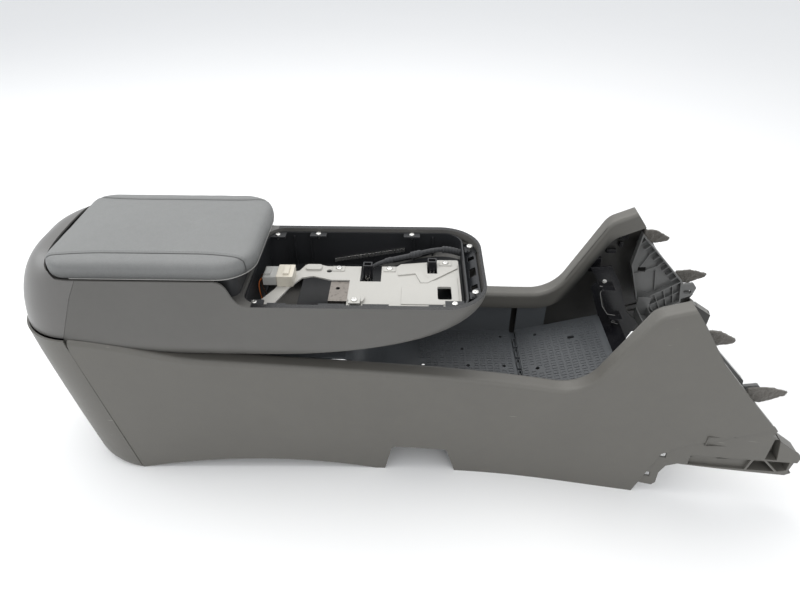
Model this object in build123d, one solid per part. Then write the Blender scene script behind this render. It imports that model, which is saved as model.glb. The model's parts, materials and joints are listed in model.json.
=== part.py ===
from build123d import *

import math
import os

# Floor console of a car: two flared lower side panels, a bridge with a hinged armrest lid over
# a storage bin, an open well that shows the control panel's bracket, and a lower tray.
# Millimetres. +X points to the front of the car, +Y to its left, +Z up. The console stands on
# z = 0, and the origin is below the middle of its length and width.

# Overall
REAR_X = -562.0
FRONT_X = 562.0
WALL = 3.0
TRIM_GAP = 0.4
INNER_GAP = 1.0
SEAT_GAP = 0.3

# Lower body in plan: station, half-width at the foot, and lean of the wall up to the ear's top
EAR_TOP_Z = 334.0
STATIONS = (
    (-474.0, 131.0, 7.0),
    (-250.0, 126.5, 5.0),
    (-50.0, 124.0, 5.0),
    (150.0, 131.5, 9.0),
    (353.0, 160.0, 18.0),
    (480.0, 174.0, 18.0),
    (590.0, 182.0, 18.0),
)
SHEET_TOP_Z = 352.0
REAR_CORNER_R = 88.0
REAR_RAKE = 46.0
REAR_FOOT_R = 20.0
BELT_Z = 256.0

# Upper body
BELLY_Z = 212.0
BRIDGE_MID_Z = 250.0
RIM_Z = 309.0
SHOULDER_Z = 344.0
DOME_Z = 370.0
BELT_HALF = 119.5
SHOULDER_HALF = 106.0
BELLY_ROUND = 42.0
DOME_ROUND_Y = 29.0
DOME_LEAN_X = 72.0
DOME_POWER = 2.2
NOSE_X = 106.0
NOSE_RAKE = 320.0
NOSE_RAKE_POWER = 2.9
NOSE_R = 60.0

# Seams, and the top line of the lower side panels
SEAM_TOP_X = -438.0
SEAM_SHOULDER_X = -457.0
SEAM_SHOULDER_Z = 318.0
SEAM_BELT_X = -478.0
SEAM_FOOT_X = -427.0
PANEL_MID_X = -290.0
PANEL_MID_Z = 220.5
VALLEY_X = 246.0
VALLEY_Z = 180.5
VALLEY_R = 60.0
RAMP_TOP_X = 319.4
RAMP_TOP_Z = 320.0
RAMP_TOP_R = 28.0
EAR_FRONT_X = 357.0
LIP_WIDTH = 28.0
LIP_R = 7.0
LIP_DROP = 31.0
FRONT_RETURN = 12.0

# Foot of the side panels
ARCH_REAR_X = -424.0
ARCH_FRONT_X = -52.0
ARCH_RISE = 20.0
NOTCH_REAR_X = -38.0
NOTCH_FRONT_X = 72.0
NOTCH_RISE = 50.0
NOTCH_SLANT = 11.0
NOTCH_R = 8.0
SKIN_FOOT_X = 344.0

# Front clip flange of the side panels; windows are (x, z, width, height)
FLANGE_ROOT_X = 510.0
FLANGE_TOP_Z = 150.0
FLANGE_TIP_Z = 97.0
FLANGE_FOOT_Z = 63.0
FLANGE_JOG = 2.2
SHELF_Z = 90.0
SHELF_JOG = 5.0
TAB_FRONT_X = 376.0
TAB_FOOT_Z = 16.0
POCKET_REAR_X = 500.0
POCKET_FRONT_X = 550.0
POCKET_DEEP = 17.0
WINDOWS = (
    (488.0, 147.0, 16.0, 6.0),
    (407.0, 116.0, 14.0, 6.0),
    (375.0, 80.0, 9.0, 9.0),
    (361.0, 38.0, 8.0, 9.0),
)

# Lid
LID_FRONT_X = -209.0
LID_HALF = 104.5
LID_FOOT_Z = 346.0
LID_REAR_R = 34.0
LID_FRONT_R = 50.0
LID_GAP = 1.6
LID_SKIN = 8.0
LID_POCKET_Z = 365.5
PAN_DROP = 8.0
PAN_INSET = 8.0
PAN_WALL = 2.6

# Hinge: the pin lies just under the lid's rolled rear edge
PIN_X = -480.0
PIN_Z = 361.5
PIN_R = 2.5
PIN_HALF = 51.0
LID_ROLL_R = 9.2
EAR_Y = 45.0
EAR_THICK = 3.0
KNUCKLE_R = 5.0
KNUCKLE_INNER_Y = 36.0
KNUCKLE_GAP = 0.5
BORE_GAP = 0.06
BRACKET_THICK = 1.5
BRACKET_REAR_X = -504.0
BRACKET_FRONT_X = -464.0
BRACKET_SCREW_X = -497.0
BRACKET_SCREW_Y = 30.0

# Deck under the lid, and the storage bin in it
DECK_Z = 341.0
DECK_FRONT_X = -262.0
BIN_REAR_X = -452.0
BIN_FRONT_X = -236.0
BIN_HALF = 88.0
BIN_FLOOR_Z = 120.0
BIN_R = 14.0
BIN_WALL = 2.6
BIN_FLANGE = 9.0
BIN_FLANGE_THICK = 2.4
MAT_THICK = 2.0

# Latch under the front edge of the lid
LATCH_X = -224.0
LATCH_Z = 340.5
LATCH_BARREL_R = 3.6
LATCH_PIN_R = 1.5
LATCH_HALF = 22.0
LATCH_LUG = 3.2
HOOK_HALF = 9.0
STRIKER_Z = 326.0
STRIKER_DEEP = 2.4
SPRING_R = 2.5
SPRING_WIRE_R = 0.4
SPRING_Y = 10.0
SPRING_LENGTH = 6.0
SPRING_TURNS = 4

# Well liner inside the bridge
LINER_REAR_X = -231.0
LINER_FRONT_X = 80.0
LINER_HALF = 103.5
LINER_TOP_Z = 303.0
LINER_WALL = 2.6
LINER_R = 30.0
WELL_FLOOR_Z = 240.0
WELL_BEND_X = -40.0
WELL_FRONT_Z = 272.0
WELL_CUTS = (((-227.0, -174.0), (-60.0, 60.0)), ((-98.0, -50.0), (-60.0, -4.0)))
RIM_SKIRT = 11.0
RIM_SKIRT_THICK = 2.4
NOSE_EDGE = 1.0
RIM_SCREWS = ((-215.0, 92.0), (-150.0, 96.0), (0.0, 96.0), (-215.0, -92.0), (60.0, -90.0))
RIM_BARS = ((-196.0, -170.0), (-126.0, -90.0), (-66.0, -30.0), (24.0, 44.0))

# Bracket plate in the well
PLATE_Z = 285.0
PLATE_THICK = 2.4
BEAD_RISE = 2.0
PLATE_SCREWS = ((-110.0, 18.0), (-33.0, 18.0), (52.0, 36.0))
NEAR_TAB_X = -78.0
NEAR_TAB_Y = -84.0
NEAR_TAB_Z = 301.0
TOWER_R = 6.0

# Connector on the plate's arm
SOCKET_REAR_X = -196.0
SOCKET_FRONT_X = -172.0
SOCKET_Y = (-31.0, 2.0)
SOCKET_TALL = 17.0
PLUG_REAR_X = -216.0
LEAD_Y = (-20.0, -9.0)
LEAD_R = 0.9

# Lower tray
TRAY_HALF = 110.0
TRAY_REAR_X = -96.0
TRAY_FLOOR_X = 12.0
TRAY_STEP_X = 178.0
TRAY_STEP_WIDE = 9.0
TRAY_STEP_DEEP = 5.0
TRAY_FRONT_X = 331.0
TRAY_WALL_FRONT_X = 238.0
TRAY_Z = 99.0
TRAY_FRONT_Z = 138.0
TRAY_THICK = 2.8
TRAY_REAR_Z = 206.0
TRAY_SHELF_HALF = 95.0
TRAY_HOLES = (
    (160.0, 92.0),
    (158.0, 14.0),
    (22.0, 16.0),
    (90.0, 57.0),
    (98.0, 14.0),
    (220.0, 88.0),
    (212.0, 2.0),
)

# Front braces: corners are (x, z)
BRACE_Y = 128.0
BRACE_THICK = 2.6
BRACE_DEEP = 11.0
BRACE_TOP = (377.0, 297.0)
BRACE_FRONT = (464.0, 205.0)
BRACE_FOOT = (396.0, 160.0)
BRACE_REAR = (371.0, 236.0)
BRACE_BOX_DROP = 36.0
BRACE_TAB_X = 495.0
BRACE_BOSSES = ((386.0, 266.0), (448.0, 204.0), (424.0, 142.0))
BOSS_R = 5.0

# Cross channel between the braces, and the frame ahead of the tray
CHANNEL_X = 396.0
CHANNEL_Z = 132.0
CHANNEL_WIDE = 22.0
CHANNEL_TALL = 18.0
CHANNEL_WALL = 2.2
FRAME_HALF = 108.0
FRAME_DEEP = 34.0
FRAME_WALL = 3.0
FRAME_SCREW = (327.0, 212.0)
FRAME_FOOT_Z = 76.0
FRAME_STEPS = ((300.0, 238.0), (319.0, 206.0), (343.0, 145.0), (369.0, 120.0))

# Felt-wrapped tongues on the front edges of the side panels: x, z, length, height, drop of the tip
UPPER_FELT = (384.0, 287.0, 44.0, 22.0, 6.0)
LOWER_FELT = (462.0, 194.0, 55.0, 26.0, -5.0)
FELT_THICK = 6.0

# Floor brackets
FOOT_REAR_X = -330.0
FOOT_FRONT_X = 240.0
FOOT_WIDE = 40.0
FOOT_THICK = 3.0
FOOT_Z = 24.0
FOOT_RISE = 42.0
BOLT_Y = 70.0
BOLT_R = 4.5


def box(x, y, z):
    """Box between two values on each axis."""
    size = (x[1] - x[0], y[1] - y[0], z[1] - z[0])
    centre = ((x[0] + x[1]) / 2, (y[0] + y[1]) / 2, (z[0] + z[1]) / 2)
    return Pos(*centre) * Box(*size)


def bar_x(y, z, r, x_low, x_high):
    """Round bar along X."""
    return Pos((x_low + x_high) / 2, y, z) * Rot(0, 90, 0) * Cylinder(r, x_high - x_low)


def bar_y(x, z, r, y_low, y_high):
    """Round bar along Y."""
    return Pos(x, (y_low + y_high) / 2, z) * Rot(90, 0, 0) * Cylinder(r, y_high - y_low)


def bar_z(x, y, r, z_low, z_high):
    """Round bar along Z."""
    return Pos(x, y, (z_low + z_high) / 2) * Cylinder(r, z_high - z_low)


def prism_of(outline, y_low=-300.0, y_high=300.0):
    """Extrudes a closed outline, drawn with x across and z up, along Y."""
    face = Plane.XZ * make_face(outline)
    return extrude(Pos(0, y_low, 0) * face, amount=y_high - y_low, dir=(0, 1, 0))


def prism(points, y_low=-300.0, y_high=300.0):
    """Extrudes a closed polygon of (x, z) points along Y."""
    return prism_of(Polyline(*points, close=True), y_low, y_high)


def slab(points, z_low, z_high):
    """Extrudes a closed polygon of (x, y) points along Z."""
    return extrude(Pos(0, 0, z_low) * make_face(Polyline(*points, close=True)), z_high - z_low)


def rounded_box(x, half, z, r):
    """Box with rounded upright corners, centred on y = 0."""
    block = box(x, (-half, half), z)
    return fillet(block.edges().filter_by(Axis.Z), r)


def solids_of(shape):
    """The shape's solids, largest first."""
    return sorted(shape.solids(), key=lambda s: -s.volume)


def whole(shape):
    """The one solid of a shape that is a single piece; crumbs left by a cut are dropped."""
    return solids_of(shape)[0]


def both_sides(shape):
    """A shape and its mirror image across the console's middle."""
    return [shape, mirror(shape, Plane.XZ)]


def group(shapes):
    """Several separate solids as one part."""
    return Compound(children=[s for shape in shapes for s in shape.solids()])


def side_half(x, z):
    """Half-width of the lower body's outside at x and z."""
    share = z / EAR_TOP_Z
    for (x0, foot0, lean0), (x1, foot1, lean1) in zip(STATIONS, STATIONS[1:]):
        if x <= x1:
            part = max(0.0, (x - x0) / (x1 - x0))
            return foot0 + (foot1 - foot0) * part - (lean0 + (lean1 - lean0) * part) * share
    return STATIONS[-1][1]


def side_sheet(outer, inner):
    """Left wall of the lower body between two depths from its outside."""
    wires = []
    for z in (-10.0, SHEET_TOP_Z):
        share = z / EAR_TOP_Z
        plan = [(x, foot - lean * share) for x, foot, lean in STATIONS]
        near = [Vector(x, y - outer, z) for x, y in plan]
        far = [Vector(x, y - inner, z) for x, y in reversed(plan)]
        edges = [
            Edge.make_spline(near, tangents=[(1, -0.02, 0), (1, 0.07, 0)]),
            Edge.make_line(near[-1], far[0]),
            Edge.make_spline(far, tangents=[(-1, -0.07, 0), (-1, 0.02, 0)]),
            Edge.make_line(far[-1], near[0]),
        ]
        wires.append(Wire(edges))
    return Solid.make_loft(wires, ruled=True)


def rounded_outline(rear, front, half, rear_r, front_r, z):
    """Closed wire of a rectangle in plan with rounded corners, always in the same order."""
    diag = math.sqrt(0.5)

    def corner(cx, cy, r, start, middle, end):
        points = [(cx + r * dx, cy + r * dy, z) for dx, dy in (start, middle, end)]
        return Edge.make_three_point_arc(*points)

    rc, fc = rear + rear_r, front - front_r
    ry, fy = half - rear_r, half - front_r
    edges = [
        Edge.make_line((rear, -ry, z), (rear, ry, z)),
        corner(rc, ry, rear_r, (-1, 0), (-diag, diag), (0, 1)),
        Edge.make_line((rc, half, z), (fc, half, z)),
        corner(fc, fy, front_r, (0, 1), (diag, diag), (1, 0)),
        Edge.make_line((front, fy, z), (front, -fy, z)),
        corner(fc, -fy, front_r, (1, 0), (diag, -diag), (0, -1)),
        Edge.make_line((fc, -half, z), (rc, -half, z)),
        corner(rc, -ry, rear_r, (0, -1), (-diag, -diag), (-1, 0)),
    ]
    return Wire(edges)


def rear_at(z, inset):
    """X of the console's rear face at height z."""
    if z <= BELT_Z:
        return REAR_X + inset + REAR_RAKE * (1.0 - z / BELT_Z) ** 1.15
    rise = ((z - BELT_Z) / (DOME_Z - BELT_Z - inset)) ** DOME_POWER
    return REAR_X + inset + (DOME_LEAN_X - inset) * (1.0 - math.sqrt(max(0.0, 1.0 - rise)))


def upper_half_at(z, inset):
    """Half-width of the upper body at height z."""
    if z < BRIDGE_MID_Z:
        fall = (BRIDGE_MID_Z - z) / (BRIDGE_MID_Z - BELLY_Z - inset)
        side_round = BELLY_ROUND - inset
        return BELT_HALF - inset - side_round * (1.0 - math.sqrt(max(0.0, 1.0 - fall * fall)))
    share = (min(z, SHOULDER_Z) - BRIDGE_MID_Z) / (SHOULDER_Z - BRIDGE_MID_Z)
    side = BELT_HALF - inset - (BELT_HALF - SHOULDER_HALF) * share**1.2
    rise = max(0.0, z - SHOULDER_Z) / (DOME_Z - SHOULDER_Z - inset)
    return side - (DOME_ROUND_Y - inset) * (1.0 - math.sqrt(max(0.0, 1.0 - rise * rise)))


def nose_at(z, inset):
    """X of the bridge's nose at height z: it sweeps back towards the belly."""
    share = min(1.0, (z - BELLY_Z - inset) / (RIM_Z - BELLY_Z - inset))
    return NOSE_X - inset - NOSE_RAKE * (1.0 - share) ** NOSE_RAKE_POWER


def upper_master(inset=0.0):
    """Solid of the upper body's outer form, drawn in by inset."""
    drop = BRIDGE_MID_Z - BELLY_Z - inset
    rise = DOME_Z - SHOULDER_Z - inset
    levels = [BRIDGE_MID_Z - drop * math.cos(math.radians(a)) for a in (0, 26, 50, 72, 90)]
    levels += [BRIDGE_MID_Z + (SHOULDER_Z - BRIDGE_MID_Z) * share for share in (0.25, 0.5, 0.75, 1.0)]
    levels += [SHOULDER_Z + rise * math.sin(math.radians(a)) for a in (30, 60, 90)]
    wires = []
    for z in levels:
        half = upper_half_at(z, inset)
        share = min(1.0, max(0.0, (RIM_Z - z) / (RIM_Z - BELLY_Z)))
        nose_r = min(NOSE_R - inset + 55.0 * share * (1.0 - 0.45 * share), half - 6.0)
        rear_r = min(REAR_CORNER_R - inset, half - 6.0)
        outline = rounded_outline(rear_at(z, inset), nose_at(z, inset), half, rear_r, nose_r, z)
        wires.append(outline)
    return Solid.make_loft(wires)


def rear_lower_master(inset=0.0):
    """Solid of the lower body's rear end, drawn in by inset."""
    beyond = 2.0 if inset else 0.0
    levels = [-beyond] + [REAR_FOOT_R * share for share in (0.12, 0.3, 0.6, 1.0)]
    levels += [BELT_Z * share for share in (0.24, 0.4, 0.56, 0.72, 0.86)] + [BELT_Z + beyond]
    wires = []
    for z in levels:
        rise = min(1.0, 1.0 - min(1.0, z / REAR_FOOT_R))
        tuck = REAR_FOOT_R * (1.0 - math.sqrt(1.0 - rise * rise))
        rear = rear_at(z, inset) + tuck
        half = side_half(STATIONS[0][0], z) - inset
        radius = REAR_CORNER_R - inset
        wires.append(rounded_outline(rear, SEAM_FOOT_X + 30.0 + beyond, half, radius, 4.0, z))
    return Solid.make_loft(wires, ruled=True)


def belt_edges(drop=0.0, shift=0.0):
    """Top line of the lower body from the rear to ahead of the ear, lowered and shifted."""
    slope = (VALLEY_Z - PANEL_MID_Z) / (VALLEY_X - PANEL_MID_X)
    rear = Spline(
        (REAR_X - 20.0, BELT_Z + 2.0),
        (SEAM_BELT_X, BELT_Z),
        (-380.0, 238.0),
        (PANEL_MID_X, PANEL_MID_Z),
        tangents=[(1, 0), (1, slope)],
    )
    front = Polyline(
        (PANEL_MID_X, PANEL_MID_Z),
        (VALLEY_X, VALLEY_Z),
        (RAMP_TOP_X, RAMP_TOP_Z),
        (EAR_FRONT_X, EAR_TOP_Z),
        (EAR_FRONT_X + 48.0, EAR_TOP_Z + 17.0),
    )
    valley = min(front.vertices(), key=lambda v: abs(v.X - VALLEY_X))
    front = fillet(valley, VALLEY_R)
    top = min(front.vertices(), key=lambda v: abs(v.X - RAMP_TOP_X) + abs(v.Y - RAMP_TOP_Z))
    front = fillet(top, RAMP_TOP_R)
    return [Pos(shift, -drop, 0) * e for e in (*rear.edges(), *front.edges())]


def under_belt(drop=0.0, shift=0.0):
    """Everything below the lowered and shifted top line, as a prism."""
    start = (REAR_X - 20.0 + shift, BELT_Z + 2.0 - drop)
    end = (EAR_FRONT_X + 48.0 + shift, EAR_TOP_Z + 17.0 - drop)
    far_x, low_z = STATIONS[-1][0] + 60.0, -40.0
    closing = Polyline(end, (far_x, end[1]), (far_x, low_z), (start[0], low_z), start)
    return prism_of(belt_edges(drop, shift) + list(closing.edges()))


def foot_cut():
    """Arch and notch along the foot of the side panels, and the floor itself."""
    middle = (ARCH_REAR_X + ARCH_FRONT_X) / 2 + 20.0
    arch = ThreePointArc((ARCH_REAR_X, 0), (middle, ARCH_RISE), (ARCH_FRONT_X, 0))
    base = Polyline(
        (ARCH_FRONT_X, 0), (ARCH_FRONT_X, -30), (ARCH_REAR_X, -30), (ARCH_REAR_X, 0)
    )
    notch = prism(
        (
            (NOTCH_REAR_X - 6, -30),
            (NOTCH_REAR_X, 0),
            (NOTCH_REAR_X + NOTCH_SLANT, NOTCH_RISE),
            (NOTCH_FRONT_X - NOTCH_SLANT - 3, NOTCH_RISE - 3),
            (NOTCH_FRONT_X, 0),
            (NOTCH_FRONT_X + 6, -30),
        )
    )
    corners = notch.edges().filter_by(Axis.Y).group_by(Axis.Z)[-2:]
    notch = fillet([e for level in corners for e in level], NOTCH_R)
    floor = box((REAR_X - 50, FRONT_X + 60), (-300, 300), (-60, 0))
    return [prism_of([arch.edge(), *base.edges()]), notch, floor]


def front_line(back=0.0):
    """Front outline of the side panel's skin from the ear's top down to the flange's root."""
    points = (
        (EAR_FRONT_X - 2.0, SHEET_TOP_Z + 30.0),
        (EAR_FRONT_X + 1.0, EAR_TOP_Z + 4.0),
        (376.0, 314.0),
        (414.0, 256.0),
        (462.0, 202.0),
        (FLANGE_ROOT_X, FLANGE_TOP_Z),
    )
    return [(x - back, z - back * 0.3) for x, z in points]


def skin_prism():
    """Side outline of a panel's visible skin, apart from its top line and its foot."""
    outline = [
        (SEAM_BELT_X + TRIM_GAP, SHEET_TOP_Z + 30),
        (SEAM_BELT_X + TRIM_GAP, BELT_Z),
        (SEAM_FOOT_X + TRIM_GAP, 0),
        (SEAM_FOOT_X + TRIM_GAP, -20),
        (SKIN_FOOT_X - 4.0, -20),
        (SKIN_FOOT_X, 0),
        (SKIN_FOOT_X + 27.0, 84.0),
        (SKIN_FOOT_X + 56.0, 106.0),
        (FLANGE_ROOT_X, FLANGE_TOP_Z),
    ]
    return prism([*outline, *reversed(front_line()[:-1])], 0.0)


def flange_outline():
    """Side outline of the clip flange ahead of and below the skin."""
    return prism(
        (
            (SKIN_FOOT_X - 8.0, TAB_FOOT_Z + 4.0),
            (TAB_FRONT_X - 5.0, TAB_FOOT_Z),
            (TAB_FRONT_X, TAB_FOOT_Z + 6.0),
            (TAB_FRONT_X, 43.0),
            (TAB_FRONT_X + 7.0, FLANGE_FOOT_Z - 4.0),
            (TAB_FRONT_X + 22.0, FLANGE_FOOT_Z + 3.0),
            (FRONT_X - 12.0, FLANGE_FOOT_Z - 2.0),
            (FRONT_X - 5.0, FLANGE_FOOT_Z + 3.0),
            (FRONT_X, FLANGE_TIP_Z),
            (FRONT_X - 4.0, FLANGE_TIP_Z + 7.0),
            (FLANGE_ROOT_X + 1.0, FLANGE_TOP_Z - 13.0),
            (FLANGE_ROOT_X + 5.0, FLANGE_TOP_Z - 4.0),
            (FLANGE_ROOT_X, FLANGE_TOP_Z + 2.0),
            (FLANGE_ROOT_X - 12.0, FLANGE_TOP_Z + 6.0),
            (SKIN_FOOT_X + 16.0, 112.0),
        ),
        0.0,
    )


def flange_hollows():
    """The flange's deep pocket with its slanted rib, and the groove above it."""
    top, foot = SHELF_Z - WALL, FLANGE_FOOT_Z + 4.0
    rear, front = POCKET_REAR_X, POCKET_FRONT_X
    pocket = prism(((rear, top), (rear - 5.0, foot), (front - 16.0, foot), (front - 36.0, top)), 0.0)
    wedge = prism(((front - 32.0, top), (front - 12.0, foot), (front, foot + 4.0), (front, top)), 0.0)
    groove = prism(
        (
            (rear + 14.0, SHELF_Z),
            (rear + 31.0, SHELF_Z),
            (rear + 24.0, FLANGE_TOP_Z - 20.0),
            (rear + 16.0, FLANGE_TOP_Z - 20.0),
        ),
        0.0,
    )
    return pocket + wedge + groove


def clip_flange():
    """Joggled flange with its clip windows, shelf and deep pocket."""
    outline = flange_outline()
    shelf_x = TAB_FRONT_X + 30.0
    shelf = box((shelf_x, FRONT_X + 20.0), (0, 300), (0, SHELF_Z))
    jog_depth = FLANGE_JOG + SHELF_JOG
    upper = (side_sheet(FLANGE_JOG, FLANGE_JOG + WALL) & outline) - shelf
    lower = side_sheet(FLANGE_JOG, jog_depth + WALL) & outline & shelf
    recess = box((shelf_x + 6.0, FRONT_X + 20.0), (0, 300), (FLANGE_FOOT_Z + 4.0, SHELF_Z - WALL))
    lower -= side_sheet(0.0, jog_depth) & recess
    surround = prism(
        (
            (POCKET_REAR_X - WALL, SHELF_Z),
            (POCKET_REAR_X - WALL - 6.0, FLANGE_FOOT_Z),
            (POCKET_FRONT_X + WALL, FLANGE_FOOT_Z),
            (POCKET_FRONT_X + WALL, SHELF_Z + 24.0),
            (POCKET_FRONT_X - 24.0, FLANGE_TOP_Z - 16.0),
            (POCKET_REAR_X + 12.0, FLANGE_TOP_Z - 16.0),
        ),
        0.0,
    )
    depth = FLANGE_JOG + POCKET_DEEP
    block = side_sheet(FLANGE_JOG, depth + WALL) & outline & surround
    flange = upper + lower + block
    flange -= side_sheet(0.0, depth) & flange_hollows()
    for x, z, wide, high in WINDOWS:
        flange -= box((x - wide / 2, x + wide / 2), (0, 300), (z - high / 2, z + high / 2))
    return whole(flange)


def side_panel(bridge_room):
    """Left lower side panel: one moulding of skin, rolled lip, front return and clip flange."""
    blank = side_sheet(0.0, LIP_WIDTH) & skin_prism() & under_belt()
    blank = fillet(lip_edges(blank), LIP_R)
    behind_front = prism(
        [
            (REAR_X, SHEET_TOP_Z + 30.0),
            (REAR_X, -30.0),
            (FLANGE_ROOT_X - 6.0, -30.0),
            *reversed(front_line(WALL)),
        ],
        0.0,
    )
    below_lip = under_belt(LIP_DROP, 10.0)
    channel = side_sheet(WALL, LIP_WIDTH - WALL) & under_belt(WALL) & behind_front
    inside = side_sheet(WALL, LIP_WIDTH + 20.0) & below_lip & behind_front
    behind_return = side_sheet(FRONT_RETURN, LIP_WIDTH + 20.0) & below_lip
    panel = whole(blank - channel - inside - behind_return + clip_flange())
    for cut in (bridge_room, *foot_cut()):
        panel -= cut
    return whole(panel)


def lip_edges(blank):
    """The long edges on both sides of the lip's top."""
    edges = []
    for edge in blank.edges():
        size = edge.bounding_box().size
        middle = edge @ 0.5
        along_top = size.X > 15.0 and size.Y < 0.8 * LIP_WIDTH
        if along_top and middle.Z > VALLEY_Z - 4.0 and middle.X < EAR_FRONT_X:
            edges.append(edge)
    return edges


def seam_prism(ahead):
    """Half-space on one side of the slanted seam between the rear cover and the bridge."""
    side = TRIM_GAP if ahead else 0.0
    end_x = NOSE_X + 60.0 if ahead else REAR_X - 40.0
    line = [
        (SEAM_TOP_X + 9.0, DOME_Z + 20.0),
        (SEAM_TOP_X, DOME_Z - 14.0),
        (SEAM_SHOULDER_X, SEAM_SHOULDER_Z),
        (SEAM_BELT_X - 2.0, BELT_Z),
        (SEAM_BELT_X - 2.0, BELLY_Z - 20.0),
    ]
    line = [(x + side, z) for x, z in line]
    return prism([*line, (end_x, BELLY_Z - 20.0), (end_x, DOME_Z + 20.0)])


def lid_space():
    """Room round the lid above the shoulder, ahead of its rear corners, and for its rear roll."""
    outline = rounded_outline(
        PIN_X - LID_ROLL_R - LID_GAP,
        LID_FRONT_X + 60.0,
        LID_HALF + LID_GAP,
        LID_REAR_R,
        10.0,
        SHOULDER_Z,
    )
    above = extrude(make_face(outline), amount=60.0, dir=(0, 0, 1))
    ahead = box((PIN_X + 25.0, NOSE_X + 60.0), (-200, 200), (SHOULDER_Z, DOME_Z + 30.0))
    roll = bar_y(PIN_X, PIN_Z, LID_ROLL_R + LID_GAP, -LID_HALF + 10.0, LID_HALF - 10.0)
    return [above, ahead, roll]


def opening_cut():
    """The step down from the lid's shoulder to the rim of the open well, as a prism above it."""
    step_front = DECK_FRONT_X + 42.0
    step = Spline(
        (DECK_FRONT_X, SHOULDER_Z),
        ((DECK_FRONT_X + step_front) / 2, (SHOULDER_Z + RIM_Z) / 2),
        (step_front, RIM_Z),
        tangents=[(1, 0), (1, 0)],
    )
    closing = Polyline(
        (step_front, RIM_Z),
        (NOSE_X + 60.0, RIM_Z),
        (NOSE_X + 60.0, DOME_Z + 30.0),
        (DECK_FRONT_X, DOME_Z + 30.0),
        (DECK_FRONT_X, SHOULDER_Z),
    )
    return prism_of([step.edge(), *closing.edges()])


def bin_hole(extra):
    """Plan of the storage bin as a tall rounded block, grown by extra."""
    x = (BIN_REAR_X - extra, BIN_FRONT_X + extra)
    return rounded_box(x, BIN_HALF + extra, (BIN_FLOOR_Z, DOME_Z), BIN_R + extra)


def well_opening(extra):
    """Plan of the open well as a block through the rim and its skirt, grown by extra."""
    outline = rounded_outline(
        LINER_REAR_X - SEAT_GAP - extra,
        NOSE_X - WALL - NOSE_EDGE + extra,
        LINER_HALF + SEAT_GAP + extra,
        LINER_R + extra,
        NOSE_R - WALL - NOSE_EDGE + extra,
        RIM_Z - RIM_SKIRT,
    )
    return extrude(make_face(outline), amount=RIM_SKIRT + 20.0, dir=(0, 0, 1))


def rim(outer):
    """Inward rim of the open well, with the skirt that the liner sits in."""
    shelf_x = (DECK_FRONT_X, NOSE_X + 10.0)
    shelf = outer & box(shelf_x, (-200, 200), (RIM_Z - WALL, RIM_Z))
    skirt_z = (RIM_Z - RIM_SKIRT, RIM_Z)
    skirt = outer & well_opening(RIM_SKIRT_THICK) & box((REAR_X, FRONT_X), (-200, 200), skirt_z)
    return shelf + skirt


def upper_shells():
    """Rear upper cover and bridge shell, cut from one hollow form along the slanted seam."""
    outer = upper_master()
    deck = outer & box((REAR_X, DECK_FRONT_X), (-200, 200), (DECK_Z - WALL, DECK_Z))
    shell = (outer - upper_master(WALL)) - opening_cut() + deck + rim(outer)
    for cut in (*lid_space(), bin_hole(TRIM_GAP), well_opening(0.0)):
        shell -= cut
    above_belt = box((REAR_X - 40, 0), (-200, 200), (BELT_Z + TRIM_GAP, DOME_Z + 30))
    cover = shell & seam_prism(False) & above_belt
    for y in (-BRACKET_SCREW_Y, BRACKET_SCREW_Y):
        cover -= bar_z(BRACKET_SCREW_X, y, 2.1, DECK_Z - 20, DECK_Z + 5)
    bridge = shell & seam_prism(True)
    return whole(cover), whole(bridge)


def rear_lower_cover():
    """Wrap-round lower cover at the console's rear end, open at its foot and its top."""
    behind_seam = prism(
        (
            (SEAM_BELT_X, BELT_Z + 20.0),
            (SEAM_BELT_X, BELT_Z),
            (SEAM_FOOT_X, 0.0),
            (SEAM_FOOT_X + 2.0, -20.0),
            (REAR_X - 40.0, -20.0),
            (REAR_X - 40.0, BELT_Z + 20.0),
        )
    )
    return whole((rear_lower_master() - rear_lower_master(WALL)) & behind_seam)


def storage_bin():
    """Deep bin under the armrest, hung from the deck by its flange."""
    x = (BIN_REAR_X, BIN_FRONT_X)
    top = DECK_Z + BIN_FLANGE_THICK
    tub = rounded_box(x, BIN_HALF, (BIN_FLOOR_Z, top), BIN_R)
    tub = fillet(tub.faces().sort_by(Axis.Z)[0].edges(), 6.0)
    flange_x = (x[0] - BIN_FLANGE, x[1])
    flange = rounded_box(flange_x, BIN_HALF + BIN_FLANGE, (DECK_Z, top), BIN_R - 2.0)
    inside_x = (x[0] + BIN_WALL, x[1] - BIN_WALL)
    inside_z = (BIN_FLOOR_Z + BIN_WALL, top + 10)
    inside = rounded_box(inside_x, BIN_HALF - BIN_WALL, inside_z, BIN_R - BIN_WALL)
    return whole(tub + flange - inside)


def bin_mat():
    """Soft mat on the bin's floor."""
    clear = BIN_WALL + 5.0
    low = BIN_FLOOR_Z + BIN_WALL
    x = (BIN_REAR_X + clear, BIN_FRONT_X - clear)
    return rounded_box(x, BIN_HALF - clear, (low, low + MAT_THICK), BIN_R - 4.0)


def lid_levels():
    """Height, side inset and rear inset of each level of the lid, from its foot to its crown."""
    levels = [(LID_FOOT_Z, 2.0, 0.0), (LID_FOOT_Z + 6.0, 0.0, 0.0), (PIN_Z, 0.6, 0.0)]
    for angle in (35, 62, 90):
        rise = LID_ROLL_R * math.sin(math.radians(angle))
        roll = LID_ROLL_R * (1.0 - math.cos(math.radians(angle)))
        levels.append((PIN_Z + rise, 0.6 + 1.6 * roll, roll))
    return levels


def ear_slot():
    """Room that the fixed hinge ear needs in the lid as the lid swings up."""
    return box(
        (PIN_X - LID_ROLL_R - 5.0, PIN_X + KNUCKLE_R + 1.0),
        (EAR_Y - KNUCKLE_GAP, EAR_Y + EAR_THICK + KNUCKLE_GAP),
        (LID_FOOT_Z - 20.0, PIN_Z + KNUCKLE_R + 1.0),
    )


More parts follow.
